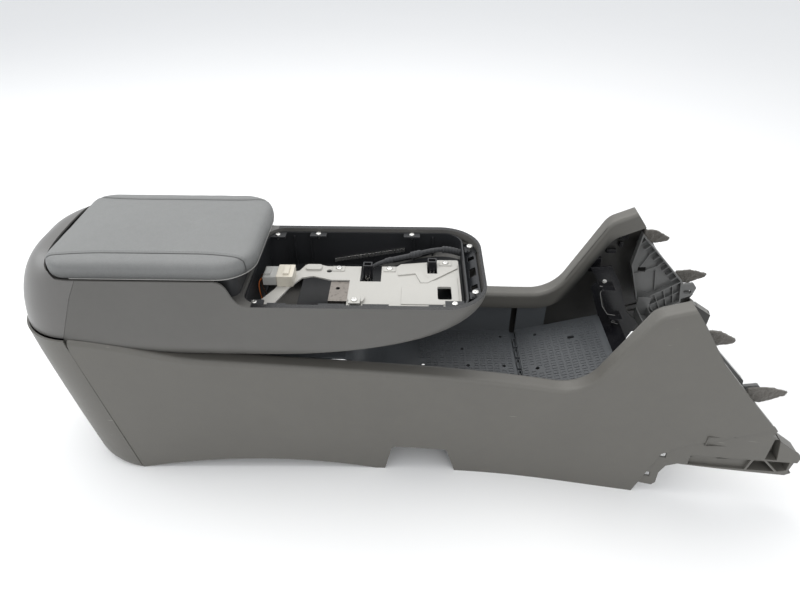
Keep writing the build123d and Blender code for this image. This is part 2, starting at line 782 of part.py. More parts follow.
def lid_cover():
    """Padded lid cushion: crowned, rolled round the hinge at its rear, hollow underneath."""
    rear = PIN_X - LID_ROLL_R
    wires = []
    for z, side, back in lid_levels():
        rear_r, front_r = LID_REAR_R - side, LID_FRONT_R - side
        outline = rounded_outline(rear + back, LID_FRONT_X - side, LID_HALF - side, rear_r, front_r, z)
        wires.append(outline)
    cushion = Solid.make_loft(wires)
    x = (rear + LID_SKIN, LID_FRONT_X - LID_SKIN)
    z = (LID_FOOT_Z - 5.0, LID_POCKET_Z)
    cushion -= rounded_box(x, LID_HALF - LID_SKIN, z, LID_REAR_R - LID_SKIN)
    room = KNUCKLE_R + 1.0
    span = EAR_Y + EAR_THICK + 4.0
    cushion -= bar_y(PIN_X, PIN_Z, room, -span, span)
    cushion -= box((PIN_X - room, PIN_X + room), (-span, span), (LID_FOOT_Z - 5.0, PIN_Z))
    for slot in both_sides(ear_slot()):
        cushion -= slot
    return whole(cushion)


def lid_screw_places():
    """Where the inner panel is screwed up into the lid."""
    inset = PAN_INSET + 18.0
    along = (BIN_REAR_X + inset, BIN_FRONT_X - inset)
    across = (-BIN_HALF + inset, BIN_HALF - inset)
    return [(x, y) for x in along for y in across]


def lid_pan():
    """Plate and dished pan of the lid's inner panel, with its screw posts."""
    rear = PIN_X - LID_ROLL_R + LID_SKIN + SEAT_GAP
    front = LID_FRONT_X - LID_SKIN - SEAT_GAP
    plate_z = (LID_FOOT_Z, LID_FOOT_Z + PAN_WALL)
    half = LID_HALF - LID_SKIN - SEAT_GAP
    panel = rounded_box((rear, front), half, plate_z, LID_REAR_R - LID_SKIN)
    pan_x = (BIN_REAR_X + PAN_INSET, BIN_FRONT_X - PAN_INSET)
    pan_half = BIN_HALF - PAN_INSET
    low = LID_FOOT_Z - PAN_DROP
    panel += rounded_box(pan_x, pan_half, (low, LID_FOOT_Z), BIN_R)
    dish_x = (pan_x[0] + PAN_WALL, pan_x[1] - PAN_WALL)
    dish_z = (low + PAN_WALL, LID_FOOT_Z + 20.0)
    panel -= rounded_box(dish_x, pan_half - PAN_WALL, dish_z, BIN_R - PAN_WALL)
    for x, y in lid_screw_places():
        panel += bar_z(x, y, 4.5, low + 1.0, LID_POCKET_Z - SEAT_GAP)
        panel -= bar_z(x, y, 1.6, low - 1.0, low + 12.0)
    return panel


def lid_inner_panel():
    """Hard inner panel of the lid with its hinge knuckles and the lugs of the latch."""
    panel = lid_pan()
    for side in (-1, 1):
        ends = sorted((side * KNUCKLE_INNER_Y, side * (EAR_Y - KNUCKLE_GAP)))
        panel += bar_y(PIN_X, PIN_Z, KNUCKLE_R, *ends)
        panel += box((PIN_X - 2.0, PIN_X + KNUCKLE_R), ends, (LID_FOOT_Z, PIN_Z))
        lug = sorted((side * (LATCH_HALF + SEAT_GAP), side * (LATCH_HALF + LATCH_LUG)))
        lug_z = (LATCH_Z - 3.5, LID_FOOT_Z + PAN_WALL)
        panel += box((LATCH_X - 4.0, LATCH_X + 4.0), lug, lug_z)
    panel -= bar_y(PIN_X, PIN_Z, PIN_R + BORE_GAP, -PIN_HALF - 5, PIN_HALF + 5)
    panel -= bar_y(LATCH_X, LATCH_Z, LATCH_PIN_R + BORE_GAP, -LATCH_HALF - 5, LATCH_HALF + 5)
    for slot in both_sides(ear_slot()):
        panel -= slot
    return whole(panel)


def screw_down(x, y, z, head_r=4.0, head=2.2, shank_r=1.5, shank=8.0):
    """Pan-head screw whose head sits on z, with a cross recess."""
    cap = bar_z(x, y, head_r, z, z + head)
    cap = fillet(cap.edges().sort_by(Axis.Z)[-1], head * 0.7)
    screw = cap + bar_z(x, y, shank_r, z - shank, z + 0.2)
    for wide, long in ((0.45, 0.6 * head_r), (0.6 * head_r, 0.45)):
        screw -= box((x - wide, x + wide), (y - long, y + long), (z + head - 0.9, z + head + 1))
    return screw


def lid_screws():
    """Screws that hold the inner panel to the cushion, heads down."""
    z = LID_FOOT_Z - PAN_DROP
    upright = [screw_down(x, y, z, shank=11.0) for x, y in lid_screw_places()]
    return group([mirror(screw, Plane((0, 0, z))) for screw in upright])


def bracket_screws():
    """Screws of the hinge bracket."""
    z = DECK_Z + BRACKET_THICK
    return group([screw_down(BRACKET_SCREW_X, y, z) for y in (-BRACKET_SCREW_Y, BRACKET_SCREW_Y)])


def plate_screws():
    """Screws that hold the bracket plate to its towers and to the near tab."""
    top = PLATE_Z + PLATE_THICK + 1.2
    screws = [screw_down(x, y, top, head_r=4.8) for x, y in PLATE_SCREWS]
    screws.append(screw_down(NEAR_TAB_X, NEAR_TAB_Y, NEAR_TAB_Z + PLATE_THICK, head_r=4.6))
    return group(screws)


def rim_screws():
    """Screws in the liner's tabs and in the nose frame."""
    screws = [screw_down(x, y, LINER_TOP_Z, head_r=4.4) for x, y in RIM_SCREWS]
    screws += [screw_down(*nose_screw(side), LINER_TOP_Z, head_r=5.0) for side in (-1, 1)]
    return group(screws)


def nose_screw(side):
    """Place of a nose frame screw."""
    return (LINER_FRONT_X + 10.0, side * 62.0)


def hinge_bracket():
    """Steel bracket on the deck with the two ears that carry the hinge pin."""
    plate_z = (DECK_Z, DECK_Z + BRACKET_THICK)
    span = EAR_Y + EAR_THICK
    bracket = box((BRACKET_REAR_X, BRACKET_FRONT_X), (-span, span), plate_z)
    for side in (-1, 1):
        y = sorted((side * EAR_Y, side * span))
        bracket += box((PIN_X - KNUCKLE_R, PIN_X + KNUCKLE_R), y, (DECK_Z, PIN_Z))
        bracket += bar_y(PIN_X, PIN_Z, KNUCKLE_R, *y)
        bracket -= bar_z(BRACKET_SCREW_X, side * BRACKET_SCREW_Y, 2.1, DECK_Z - 5, DECK_Z + 5)
    bracket -= box((PIN_X - 12.0, PIN_X + 10.0), (-22.0, 22.0), (DECK_Z - 5, DECK_Z + 5))
    bracket -= bar_y(PIN_X, PIN_Z, PIN_R + BORE_GAP / 3, -span - 5, span + 5)
    return whole(bracket)


def hinge_pin():
    """Steel pin of the lid hinge with a head at one end."""
    head = bar_y(PIN_X, PIN_Z, PIN_R + 1.2, EAR_Y + EAR_THICK + 0.1, PIN_HALF)
    return whole(bar_y(PIN_X, PIN_Z, PIN_R, -PIN_HALF, PIN_HALF) + head)


def lid_bumpers():
    """Rubber stops under the lid that land on the bin's flange."""
    low = DECK_Z + BIN_FLANGE_THICK + SEAT_GAP
    y = BIN_HALF + BIN_FLANGE / 2
    places = [(x, side * y) for x in (BIN_REAR_X + 22, BIN_FRONT_X - 22) for side in (-1, 1)]
    return group([bar_z(*place, 3.6, low, LID_FOOT_Z) for place in places])


def latch_lever():
    """Sprung finger lever with the hook that holds the lid down."""
    paddle_x = (LATCH_X, LATCH_X + 11.0)
    paddle = box(paddle_x, (-LATCH_HALF, LATCH_HALF), (LATCH_Z - LATCH_BARREL_R, LATCH_Z))
    paddle = fillet(paddle.edges().filter_by(Axis.Z).sort_by(Axis.X)[-2:], 5.0)
    lever = paddle + bar_y(LATCH_X, LATCH_Z, LATCH_BARREL_R, -LATCH_HALF, LATCH_HALF)
    arm_foot = STRIKER_Z - 6.0
    lever += box((LATCH_X - 3.0, LATCH_X), (-HOOK_HALF, HOOK_HALF), (arm_foot, LATCH_Z))
    tip = BIN_FRONT_X + STRIKER_DEEP + SEAT_GAP
    hook = (
        (LATCH_X - 1.0, arm_foot),
        (tip + 2.0, arm_foot),
        (tip, STRIKER_Z - 2.0),
        (tip, STRIKER_Z - SEAT_GAP),
        (LATCH_X - 1.0, STRIKER_Z - SEAT_GAP),
    )
    lever += prism(hook, -HOOK_HALF, HOOK_HALF)
    lever -= bar_y(LATCH_X, LATCH_Z, LATCH_PIN_R + BORE_GAP, -LATCH_HALF - 5, LATCH_HALF + 5)
    gap = (SPRING_Y - 0.6, SPRING_Y + SPRING_LENGTH + 0.8)
    room = LATCH_BARREL_R + 0.5
    lever -= box((LATCH_X - room, LATCH_X + room), gap, (LATCH_Z - room, LATCH_Z + room))
    return whole(lever)


def latch_pin():
    """Pin through the latch lever and its two lugs."""
    half = LATCH_HALF + LATCH_LUG
    return bar_y(LATCH_X, LATCH_Z, LATCH_PIN_R, -half, half)


def latch_spring():
    """Coil that turns the latch lever back."""
    coil = Helix(SPRING_LENGTH / SPRING_TURNS, SPRING_LENGTH, SPRING_R)
    strand = sweep(Plane(coil @ 0, z_dir=coil % 0) * Circle(SPRING_WIRE_R), path=coil)
    return Pos(LATCH_X, SPRING_Y, LATCH_Z) * Rot(-90, 0, 0) * strand.solid()


def latch_striker():
    """Catch on the bin's front wall."""
    half = HOOK_HALF + 3.0
    x = (BIN_FRONT_X, BIN_FRONT_X + STRIKER_DEEP)
    striker = box(x, (-half, half), (STRIKER_Z, STRIKER_Z + 7.0))
    return fillet(striker.edges().filter_by(Axis.X), 1.0)


def floor_height(x):
    """Height just inside the well's floor at x, where what stands on it joins it."""
    share = max(0.0, (x - WELL_BEND_X) / (LINER_FRONT_X - WELL_BEND_X))
    return WELL_FLOOR_Z + (WELL_FRONT_Z - WELL_FLOOR_Z) * share + LINER_WALL - 1.0


def liner_shell():
    """Walls and floor of the well liner, with two service openings in the floor."""
    x = (LINER_REAR_X, LINER_FRONT_X)
    ring = rounded_box(x, LINER_HALF, (BELLY_Z, LINER_TOP_Z), LINER_R)
    inner_x = (x[0] + LINER_WALL, x[1] - LINER_WALL)
    inner_z = (BELLY_Z - 5, LINER_TOP_Z + 5)
    core = rounded_box(inner_x, LINER_HALF - LINER_WALL, inner_z, LINER_R - LINER_WALL)
    line = [(x[0], WELL_FLOOR_Z), (WELL_BEND_X, WELL_FLOOR_Z), (x[1], WELL_FRONT_Z)]
    top = [(px, pz + LINER_WALL) for px, pz in reversed(line)]
    floor = prism([*line, *top]) & ring
    below = prism([*line, (x[1], BELLY_Z - 10), (x[0], BELLY_Z - 10)])
    for cut_x, cut_y in WELL_CUTS:
        floor -= box(cut_x, cut_y, (BELLY_Z, WELL_FRONT_Z))
    return (ring - core - below) + floor


def well_liner(room):
    """Black liner of the open well: walls, floor, screw towers, ribs, and tabs under the rim."""
    liner = liner_shell()
    top = LINER_TOP_Z
    for x, y in PLATE_SCREWS:
        liner += bar_z(x, y, TOWER_R, floor_height(x), PLATE_Z)
        liner -= bar_z(x, y, 1.6, PLATE_Z - 12, PLATE_Z + 1)
    liner += bar_z(NEAR_TAB_X, NEAR_TAB_Y, TOWER_R, floor_height(NEAR_TAB_X), NEAR_TAB_Z)
    liner -= bar_z(NEAR_TAB_X, NEAR_TAB_Y, 1.6, NEAR_TAB_Z - 12, NEAR_TAB_Z + 1)
    for x, y in RIM_SCREWS:
        side = 1 if y > 0 else -1
        tab_y = sorted((side * (abs(y) - 7.0), side * (LINER_HALF - 1.0)))
        liner += box((x - 13.0, x + 13.0), tab_y, (top - 3.0, top))
        liner -= bar_z(x, y, 1.6, top - 9, top + 1)
    for span in RIM_BARS:
        liner += box(span, (-LINER_HALF + 0.5, -LINER_HALF + 9.0), (top - 4.5, top + 1.5))
    for x in (-190.0, -164.0, 4.0, 34.0):
        for wall in both_sides(
            box(
                (x - 1.2, x + 1.2),
                (LINER_HALF - 6.0, LINER_HALF - 1.0),
                (floor_height(x), top - 6.0),
            )
        ):
            liner += wall
    liner_x = (LINER_REAR_X, LINER_FRONT_X)
    outline = rounded_box(liner_x, LINER_HALF, (BELLY_Z, LINER_TOP_Z + 5.0), LINER_R)
    start_x, start_y, start_z = LOOM_ROUTE[0]
    way_through = bar_x(start_y, start_z, LOOM_R + 1.8, start_x - 5.0, start_x + 5.0)
    return whole((liner - way_through) & outline & room)


def nose_frame(room):
    """Glossy frame inside the nose: sloping shelf with windows, and a ladder of ribs."""
    rear = LINER_FRONT_X + TRIM_GAP
    front = NOSE_X - WALL
    half = SHOULDER_HALF
    top = LINER_TOP_Z
    shelf = prism(
        ((rear, top - 16.0), (front, top - 3.0), (front, top), (rear, top - 13.0)), -half, half
    )
    frame = shelf + box((rear, rear + 2.4), (-half, half), (top - 30.0, top - 14.0))
    for side in (-1, 1):
        x, y = nose_screw(side)
        pad = sorted((y - 8.0, y + 8.0))
        frame += box((rear + 2.0, front), pad, (top - 15.0, top))
        frame -= bar_z(x, y, 1.6, top - 12, top + 2)
    for y, wide in ((-38.0, 5.0), (0.0, 11.0), (38.0, 5.0)):
        frame -= box((rear + 6.0, rear + 15.0), (y - wide, y + wide), (top - 40, top + 20))
    for step in range(-5, 6):
        y = step * 9.0
        frame += box((rear, rear + 6.0), (y - 0.9, y + 0.9), (top - 28, top - 13.5))
    below_skirt = box((rear, NOSE_X), (-half, half), (BELLY_Z, RIM_Z - RIM_SKIRT - SEAT_GAP))
    return whole(frame & room & (well_opening(-SEAT_GAP) + below_skirt))


def plate_outline():
    """Plan of the bracket plate: broad body, far band, and the arm to the connector."""
    near, far = -80.0, 26.0
    return [
        (72.0, 46.0),
        (72.0, near),
        (-91.0, near),
        (-91.0, -12.0),
        (-118.0, -12.0),
        (-147.0, -2.0),
        (-163.0, -7.0),
        (-177.0, -31.0),
        (-191.0, -68.0),
        (-194.0, near - 2.0),
        (-220.0, near - 2.0),
        (-212.0, -62.0),
        (-198.0, -37.0),
        (-186.0, 6.0),
        (-169.0, 12.0),
        (-162.0, far + 2.0),
        (-136.0, far + 2.0),
        (-128.0, far - 1.0),
        (-22.0, far),
        (-16.0, 33.0),
        (30.0, 40.0),
        (40.0, 46.0),
    ]


def plate_relief(top):
    """Raised panel, S-shaped bead, boss and screw pads on the bracket plate."""
    panel = [(-14.0, -30.0), (40.0, -10.0), (68.0, -4.0), (68.0, -72.0), (-14.0, -72.0)]
    relief = [slab(panel, top - 0.5, top + BEAD_RISE * 0.6)]
    bead = [(-20.0, 0.0), (-20.0, 8.0), (14.0, 14.0), (24.0, -8.0), (70.0, 30.0), (70.0, 21.0)]
    bead += [(24.0, -19.0), (14.0, -19.0), (6.0, 5.0)]
    relief.append(slab(bead, top - 0.5, top + BEAD_RISE))
    hump = box((-160.0, -136.0), (12.0, 26.0), (top - 0.5, top + 3.0))
    relief.append(fillet(hump.edges().filter_by(Axis.Z), 4.0))
    relief.append(bar_z(NEAR_TAB_X, -62.0, 12.0, top - 0.5, top + 4.0))
    relief += [box((x - 9, x + 9), (y - 7, y + 6), (top - 0.5, top + 1.2)) for x, y in PLATE_SCREWS]
    return relief


def bracket_plate():
    """Pale bracket in the well: plate with raised beads, pockets, a window and a near tab."""
    top = PLATE_Z + PLATE_THICK
    through = (PLATE_Z - 2, top + 6)
    plate = slab(plate_outline(), PLATE_Z, top)
    corners = [e for e in plate.edges().filter_by(Axis.Z) if e.center().Y < -75 or e.center().X > 70]
    plate = fillet(corners, 3.0)
    for shape in plate_relief(top):
        plate += shape
    tab_x = (NEAR_TAB_X - 8, NEAR_TAB_X + 8)
    tab_y = (NEAR_TAB_Y - 7.0, NEAR_TAB_Y + 9.0)
    tab_z = NEAR_TAB_Z + PLATE_THICK
    plate += box(tab_x, tab_y, (NEAR_TAB_Z, tab_z))
    plate += box(tab_x, (tab_y[1] - 2.4, tab_y[1]), (PLATE_Z, tab_z))
    plate -= bar_z(NEAR_TAB_X, NEAR_TAB_Y, TOWER_R + SEAT_GAP, PLATE_Z - 2, NEAR_TAB_Z)
    for x, y in (*PLATE_SCREWS, (NEAR_TAB_X, NEAR_TAB_Y)):
        plate -= bar_z(x, y, 1.8, PLATE_Z - 2, NEAR_TAB_Z + 6)
    plate -= bar_z(-124.0, 12.0, 4.2, *through)
    plate -= box((-76.0, -45.0), (-15.0, 60.0), through)
    plate -= box((24.0, 39.0), (8.0, 60.0), through)
    window = box((38.0, 58.0), (-60.0, -28.0), through)
    plate -= fillet(window.edges().filter_by(Axis.Z), 3.0)
    return whole(plate)


def steel_guide():
    """Folded steel guide that hangs from the plate's edge into the well."""
    x = (-118.5, -90.0)
    top = PLATE_Z
    guide = box(x, (-60.0, -13.0), (top - 1.6, top))
    guide += box((x[0], -91.6), (-61.6, -60.0), (top - 18.0, top))
    guide += box((x[0], x[0] + 1.6), (-60.0, -13.0), (top - 26.0, top))
    guide += box((x[1] - 1.0, x[1] + 8.0), (-56.0, -16.0), (top - 1.6, top))
    guide -= bar_z(-107.0, -30.0, 3.2, top - 5, top + 5)
    return whole(guide)


def connector_socket():
    """Cream socket fixed on the plate's arm."""
    z = PLATE_Z + PLATE_THICK
    y_low, y_high = SOCKET_Y
    socket = box((SOCKET_REAR_X, SOCKET_FRONT_X), SOCKET_Y, (z, z + SOCKET_TALL))
    socket = fillet(socket.edges().filter_by(Axis.Z), 1.5)
    latch_z = (z + SOCKET_TALL - 1.0, z + SOCKET_TALL + 3.0)
    socket += box((SOCKET_REAR_X + 10, SOCKET_REAR_X + 18), (y_low + 5, y_high - 6), latch_z)
    mouth_z = (z + 3.0, z + SOCKET_TALL - 3.0)
    socket -= box((SOCKET_REAR_X - 3, SOCKET_REAR_X + 3), (y_low + 3, y_high - 3), mouth_z)
    return whole(socket)


def connector_plug():
    """Grey plug pushed into the socket, with its locking bridge."""
    z = PLATE_Z + PLATE_THICK
    y = (SOCKET_Y[0] + 2.0, SOCKET_Y[1] - 2.0)
    plug = box((PLUG_REAR_X, SOCKET_REAR_X - 0.2), y, (z + 1.0, z + SOCKET_TALL - 2.0))
    plug = fillet(plug.edges().filter_by(Axis.Y), 1.2)
    tongue_z = (z + 3.2, z + SOCKET_TALL - 3.2)
    plug += box((SOCKET_REAR_X - 1.5, SOCKET_REAR_X + 2.7), (y[0] + 1.3, y[1] - 1.3), tongue_z)
    bridge_z = (z + SOCKET_TALL - 3.0, z + SOCKET_TALL + 1.0)
    plug += box((PLUG_REAR_X + 3, PLUG_REAR_X + 11), (y[0] + 5, y[1] - 5), bridge_z)
    for lead_y in LEAD_Y:
        plug -= bar_x(lead_y, z + 8.0, LEAD_R + 0.3, PLUG_REAR_X - 4, PLUG_REAR_X + 8)
    return whole(plug)


def round_wire(points, r):
    """Round tube along a smooth curve through the points."""
    path = Spline(*points)
    return sweep(Plane(path @ 0, z_dir=path % 0) * Circle(r), path=path).solid()


# Routes of the two leads behind the plug, and of the loom along the well's far side
LEAD_ROUTES = {
    "orange_lead": (
        (-209.0, -20.0, 295.4),
        (-213.0, -20.0, 295.4),
        (-217.0, -20.0, 295.3),
        (-221.5, -20.8, 293.4),
        (-224.5, -23.0, 286.0),
        (-224.0, -25.0, 270.0),
        (-220.0, -27.0, 252.0),
        (-214.0, -28.0, 236.0),
    ),
    "brown_lead": (
        (-209.0, -9.0, 295.4),
        (-213.0, -9.0, 295.4),
        (-217.0, -9.0, 295.3),
        (-222.0, -8.2, 293.2),
        (-225.0, -7.0, 285.0),
        (-224.0, -6.0, 268.0),
        (-219.0, -5.0, 251.0),
        (-212.0, -4.0, 236.0),
    ),
}
LOOM_ROUTE = (
    (78.0, 70.0, 286.0),
    (64.0, 72.0, 290.0),
    (42.0, 66.0, 295.0),
    (18.0, 54.0, 296.5),
    (-6.0, 46.0, 294.0),
    (-32.0, 40.5, 291.0),
    (-56.0, 36.0, 284.0),
    (-72.0, 33.0, 268.0),
    (-78.0, 31.0, 248.0),
)
LOOM_R = 3.6


def clip_holder(x, y):
    """Black clip tower beside the plate, with the slot that takes a spring clip."""
    low = floor_height(x + 7.0) + 1.0 + 0.1
    tower = box((x - 7.0, x + 7.0), (y - 6.0, y + 6.0), (low, PLATE_Z + 12.0))
    tower = fillet(tower.edges().filter_by(Axis.Z), 1.5)
    tower -= box((x - 5.0, x + 5.0), (y - 3.5, y + 3.5), (PLATE_Z - 14.0, PLATE_Z + 20.0))
    tower += box((x - 7.0, x + 7.0), (y - 26.0, y - 5.0), (PLATE_Z - 16.0, PLATE_Z - 13.0))
    return whole(tower)


def spring_clips():
    """Folded steel clips on the ledges of the two clip holders."""
    clips = []
    for x, y in CLIP_PLACES:
        base = PLATE_Z - 13.0
        outer = ((-5.0, 0.0), (-3.4, 10.5), (-2.4, 10.5), (0.0, 4.6), (2.4, 10.5), (3.4, 10.5), (5.0, 0.0))
        inner = ((4.0, 0.0), (2.8, 8.0), (0.5, 2.6), (-0.5, 2.6), (-2.8, 8.0), (-4.0, 0.0))
        fold = [(x + dx, base + dz) for dx, dz in (*outer, *inner)]
        clips.append(prism(fold, y - 14.0, y - 7.0))
    return group(clips)


CLIP_PLACES = ((-66.0, 18.0), (31.5, 31.0))


def guide_strip():
    """Slanted ribbed strip on the far wall of the well."""
    face_y = LINER_HALF - LINER_WALL - SEAT_GAP
    outline = ((-127.0, 249.0), (-11.0, 270.0), (-11.0, 276.0), (-127.0, 255.0))
    strip = prism(outline, face_y - 2.4, face_y)
    for step in range(1, 23):
        x = -127.0 + step * 5.0
        z = 249.0 + step * 5.0 * 21.0 / 116.0
        strip -= box((x, x + 2.0), (face_y - 3.0, face_y - 1.5), (z - 3.0, z + 10.0))
    return whole(strip)


def frame_screws():
    """Screws through the cross frame's side plates."""
    x, z = FRAME_SCREW
    screw = Pos(x, FRAME_HALF - FRAME_WALL, z) * Rot(90, 0, 0) * screw_down(0, 0, 0)
    return group(both_sides(screw))


def tray_walls(floor, under, x):
    """A tray floor with side walls that reach up to the underside of the panels' lips."""
    wall = box(x, (TRAY_HALF - 0.2, TRAY_HALF + TRAY_THICK), (60, 300)) & under_belt(WALL + SEAT_GAP)
    room = scale(under, (1.0, 1.4, 1.0))
    wall -= Pos(0, 0, -TRAY_THICK - TRAY_STEP_DEEP) * room
    strip = side_sheet(LIP_WIDTH - WALL - SEAT_GAP, LIP_WIDTH + SEAT_GAP)
    strip -= under_belt(LIP_DROP + 1.0, 10.0)
    wall -= strip
    for side in both_sides(strip):
        floor -= side
    for side in both_sides(whole(wall)):
        floor += side
    for hole_x, hole_y in TRAY_HOLES:
        floor -= bar_z(hole_x, hole_y, 3.2, TRAY_Z - 20, TRAY_Z + 60)
    return floor


def rear_tray():
    """Rear part of the lower tray: ramp under the nose, floor, joint groove and side walls."""
    ramp = Spline(
        (TRAY_REAR_X, TRAY_REAR_Z),
        (-52.0, 152.0),
        (TRAY_FLOOR_X, TRAY_Z),
        tangents=[(1, -0.25), (1, 0)],
    )
    closing = Polyline(
        (TRAY_FLOOR_X, TRAY_Z),
        (TRAY_STEP_X, TRAY_Z),
        (TRAY_STEP_X, -30.0),
        (TRAY_REAR_X, -30.0),
        (TRAY_REAR_X, TRAY_REAR_Z),
    )
    under = prism_of([ramp.edge(), *closing.edges()], -TRAY_HALF, TRAY_HALF)
    floor = under - Pos(-1.8, 0, -TRAY_THICK) * under
    low = TRAY_Z - TRAY_STEP_DEEP
    above = box((TRAY_REAR_X, TRAY_STEP_X - 0.1), (-200, 200), (low - TRAY_THICK, 300))
    floor = whole(floor & above)
    step_x = (TRAY_STEP_X - TRAY_THICK, TRAY_STEP_X + TRAY_STEP_WIDE)
    floor += box(step_x, (-TRAY_HALF, TRAY_HALF), (low - TRAY_THICK, low))
    floor += box((step_x[0], TRAY_STEP_X), (-TRAY_HALF, TRAY_HALF), (low - TRAY_THICK, TRAY_Z))
    shelf_x = (BIN_FRONT_X + 9.0, TRAY_REAR_X + 1.5)
    floor += box(shelf_x, (-TRAY_SHELF_HALF, TRAY_SHELF_HALF), (TRAY_REAR_Z - TRAY_THICK, TRAY_REAR_Z))
    tray = tray_walls(floor, under, (TRAY_REAR_X + 0.5, TRAY_STEP_X - 0.5))
    corner_x = (TRAY_REAR_X - 1.0, TRAY_REAR_X + 13.0)
    corner_y = (TRAY_SHELF_HALF + 0.5, TRAY_HALF + TRAY_THICK + 1.0)
    for corner in both_sides(box(corner_x, corner_y, (TRAY_REAR_Z - 12.0, TRAY_REAR_Z + 90.0))):
        tray -= corner
    return whole(tray)


def front_tray():
    """Front part of the lower tray, which climbs towards the dashboard."""
    start = TRAY_STEP_X + TRAY_STEP_WIDE + TRIM_GAP
    line = [(start, TRAY_Z), (TRAY_FRONT_X, TRAY_FRONT_Z)]
    under = prism([*line, (TRAY_FRONT_X, -30.0), (start, -30.0)], -TRAY_HALF, TRAY_HALF)
    floor = under - Pos(0, 0, -TRAY_THICK) * under
    floor = whole(floor & box((start, TRAY_FRONT_X), (-200, 200), (60, 300)))
    drop = (TRAY_FRONT_Z - 14.0, TRAY_FRONT_Z)
    floor += box((TRAY_FRONT_X - 2.4, TRAY_FRONT_X), (-TRAY_HALF, TRAY_HALF), drop)
    tray = tray_walls(floor, under, (start, TRAY_WALL_FRONT_X))
    slot = box((270.0, 282.0), (60.0, 67.0), (TRAY_Z, TRAY_FRONT_Z + 20))
    return whole(tray - fillet(slot.edges().filter_by(Axis.Z), 3.0))


def inset_outline(points, distance):
    """The polygon's face drawn in by a distance."""
    return offset(make_face(Polyline(*points, close=True)), -distance, kind=Kind.INTERSECTION)


def rib(start, end, y_low, thick):
    """Upright rib between two (x, z) points, from y_low out to the brace's plate."""
    a, b = Vector(*start), Vector(*end)
    side = Vector(-(b - a).Y, (b - a).X).normalized() * (thick / 2)
    corners = [a + side, b + side, b - side, a - side]
    return prism([(c.X, c.Y) for c in corners], y_low, BRACE_Y - 0.5)


def between(start, end, share):
    """Point at a share of the way between two points."""
    return tuple(a + (b - a) * share for a, b in zip(start, end))


def brace():
    """Left front brace: ribbed triangular plate, rear flange, grid box and slotted tab."""
    inner = BRACE_Y - BRACE_DEEP
    box_low = (BRACE_FOOT[0] + 26.0, BRACE_FOOT[1] - BRACE_BOX_DROP + 5.0)
    box_front = (BRACE_FRONT[0] + 8.0, BRACE_FRONT[1] - BRACE_BOX_DROP - 8.0)
    outline = [BRACE_TOP, BRACE_FRONT, box_front, box_low, BRACE_FOOT, BRACE_REAR]
    face = Plane.XZ * inset_outline(outline, 2.4)
    hollow = extrude(Pos(0, inner - 5.0, 0) * face, amount=BRACE_DEEP + 5.0 - BRACE_THICK, dir=(0, 1, 0))
    shape = prism(outline, inner, BRACE_Y) - hollow
    shape += rib(BRACE_FOOT, BRACE_FRONT, inner, 2.2)
    shape += rib(between(BRACE_REAR, BRACE_FOOT, 0.28), (430.0, 238.0), BRACE_Y - 6.0, 1.6)
    shape += rib((404.0, 266.0), (388.0, 230.0), BRACE_Y - 6.0, 1.6)
    shape += rib((416.0, 222.0), (424.0, 180.0), BRACE_Y - 6.0, 1.6)
    slope = Vector(BRACE_FRONT[0] - BRACE_TOP[0], BRACE_FRONT[1] - BRACE_TOP[1]).normalized()
    inward = Vector(slope.Y, -slope.X) * 14.0
    for index in range(1, 9):
        foot = between(BRACE_TOP, BRACE_FRONT, index / 9.0)
        shape += rib(foot, (foot[0] + inward.X, foot[1] + inward.Y), inner, 1.4)
    for index in range(1, 5):
        high = between(BRACE_FOOT, BRACE_FRONT, index / 5.0)
        low = between(box_low, box_front, index / 5.0)
        shape += rib(high, low, inner + 3.0, 1.4)
    ends = (between(BRACE_FOOT, box_low, 0.5), between(BRACE_FRONT, box_front, 0.5))
    shape += rib(*ends, inner + 3.0, 1.4)
    tab_outline = (
        (box_front[0] - 3, box_front[1] + 1.0),
        (BRACE_FRONT[0] - 1, BRACE_FRONT[1] - 12.0),
        (BRACE_TAB_X - 7.0, BRACE_FRONT[1] - 8.0),
        (BRACE_TAB_X, BRACE_FRONT[1] - 17.0),
        (BRACE_TAB_X - 4.0, BRACE_FRONT[1] - 33.0),
    )
    tab = prism(tab_outline, BRACE_Y - 5.0, BRACE_Y)
    tab = fillet(tab.edges().filter_by(Axis.Y).sort_by(Axis.X)[-3:], 4.0)
    slot_x = (BRACE_TAB_X - 21.0, BRACE_TAB_X - 7.0)
    slot = box(slot_x, (BRACE_Y - 20, BRACE_Y + 20), (BRACE_FRONT[1] - 29.0, BRACE_FRONT[1] - 22.0))
    slot = fillet(slot.edges().filter_by(Axis.Y), 3.0)
    window = box((386.0, 400.0), (BRACE_Y - 20, BRACE_Y + 20), (219.0, 228.0))
    shape = shape + tab - slot - window
    for x, z in BRACE_BOSSES:
        shape += bar_y(x, z, BOSS_R, BRACE_Y - 1.0, side_half(x - BOSS_R, z) - WALL)
    return whole(shape)


def front_channel():
    """U-section cross member between the feet of the two braces."""
    half = BRACE_Y - BRACE_DEEP - SEAT_GAP
    x = (CHANNEL_X, CHANNEL_X + CHANNEL_WIDE)
    z = (CHANNEL_Z, CHANNEL_Z + CHANNEL_TALL)
    channel = box(x, (-half, half), z)
    room_x = (x[0] + CHANNEL_WALL, x[1] - CHANNEL_WALL)
    channel -= box(room_x, (-half - 5, half + 5), (z[0] + CHANNEL_WALL, z[1] + 5))
    for end in both_sides(box(x, (half - CHANNEL_WALL, half), (z[0], z[1] + 22.0))):
        channel += end
    return whole(channel)


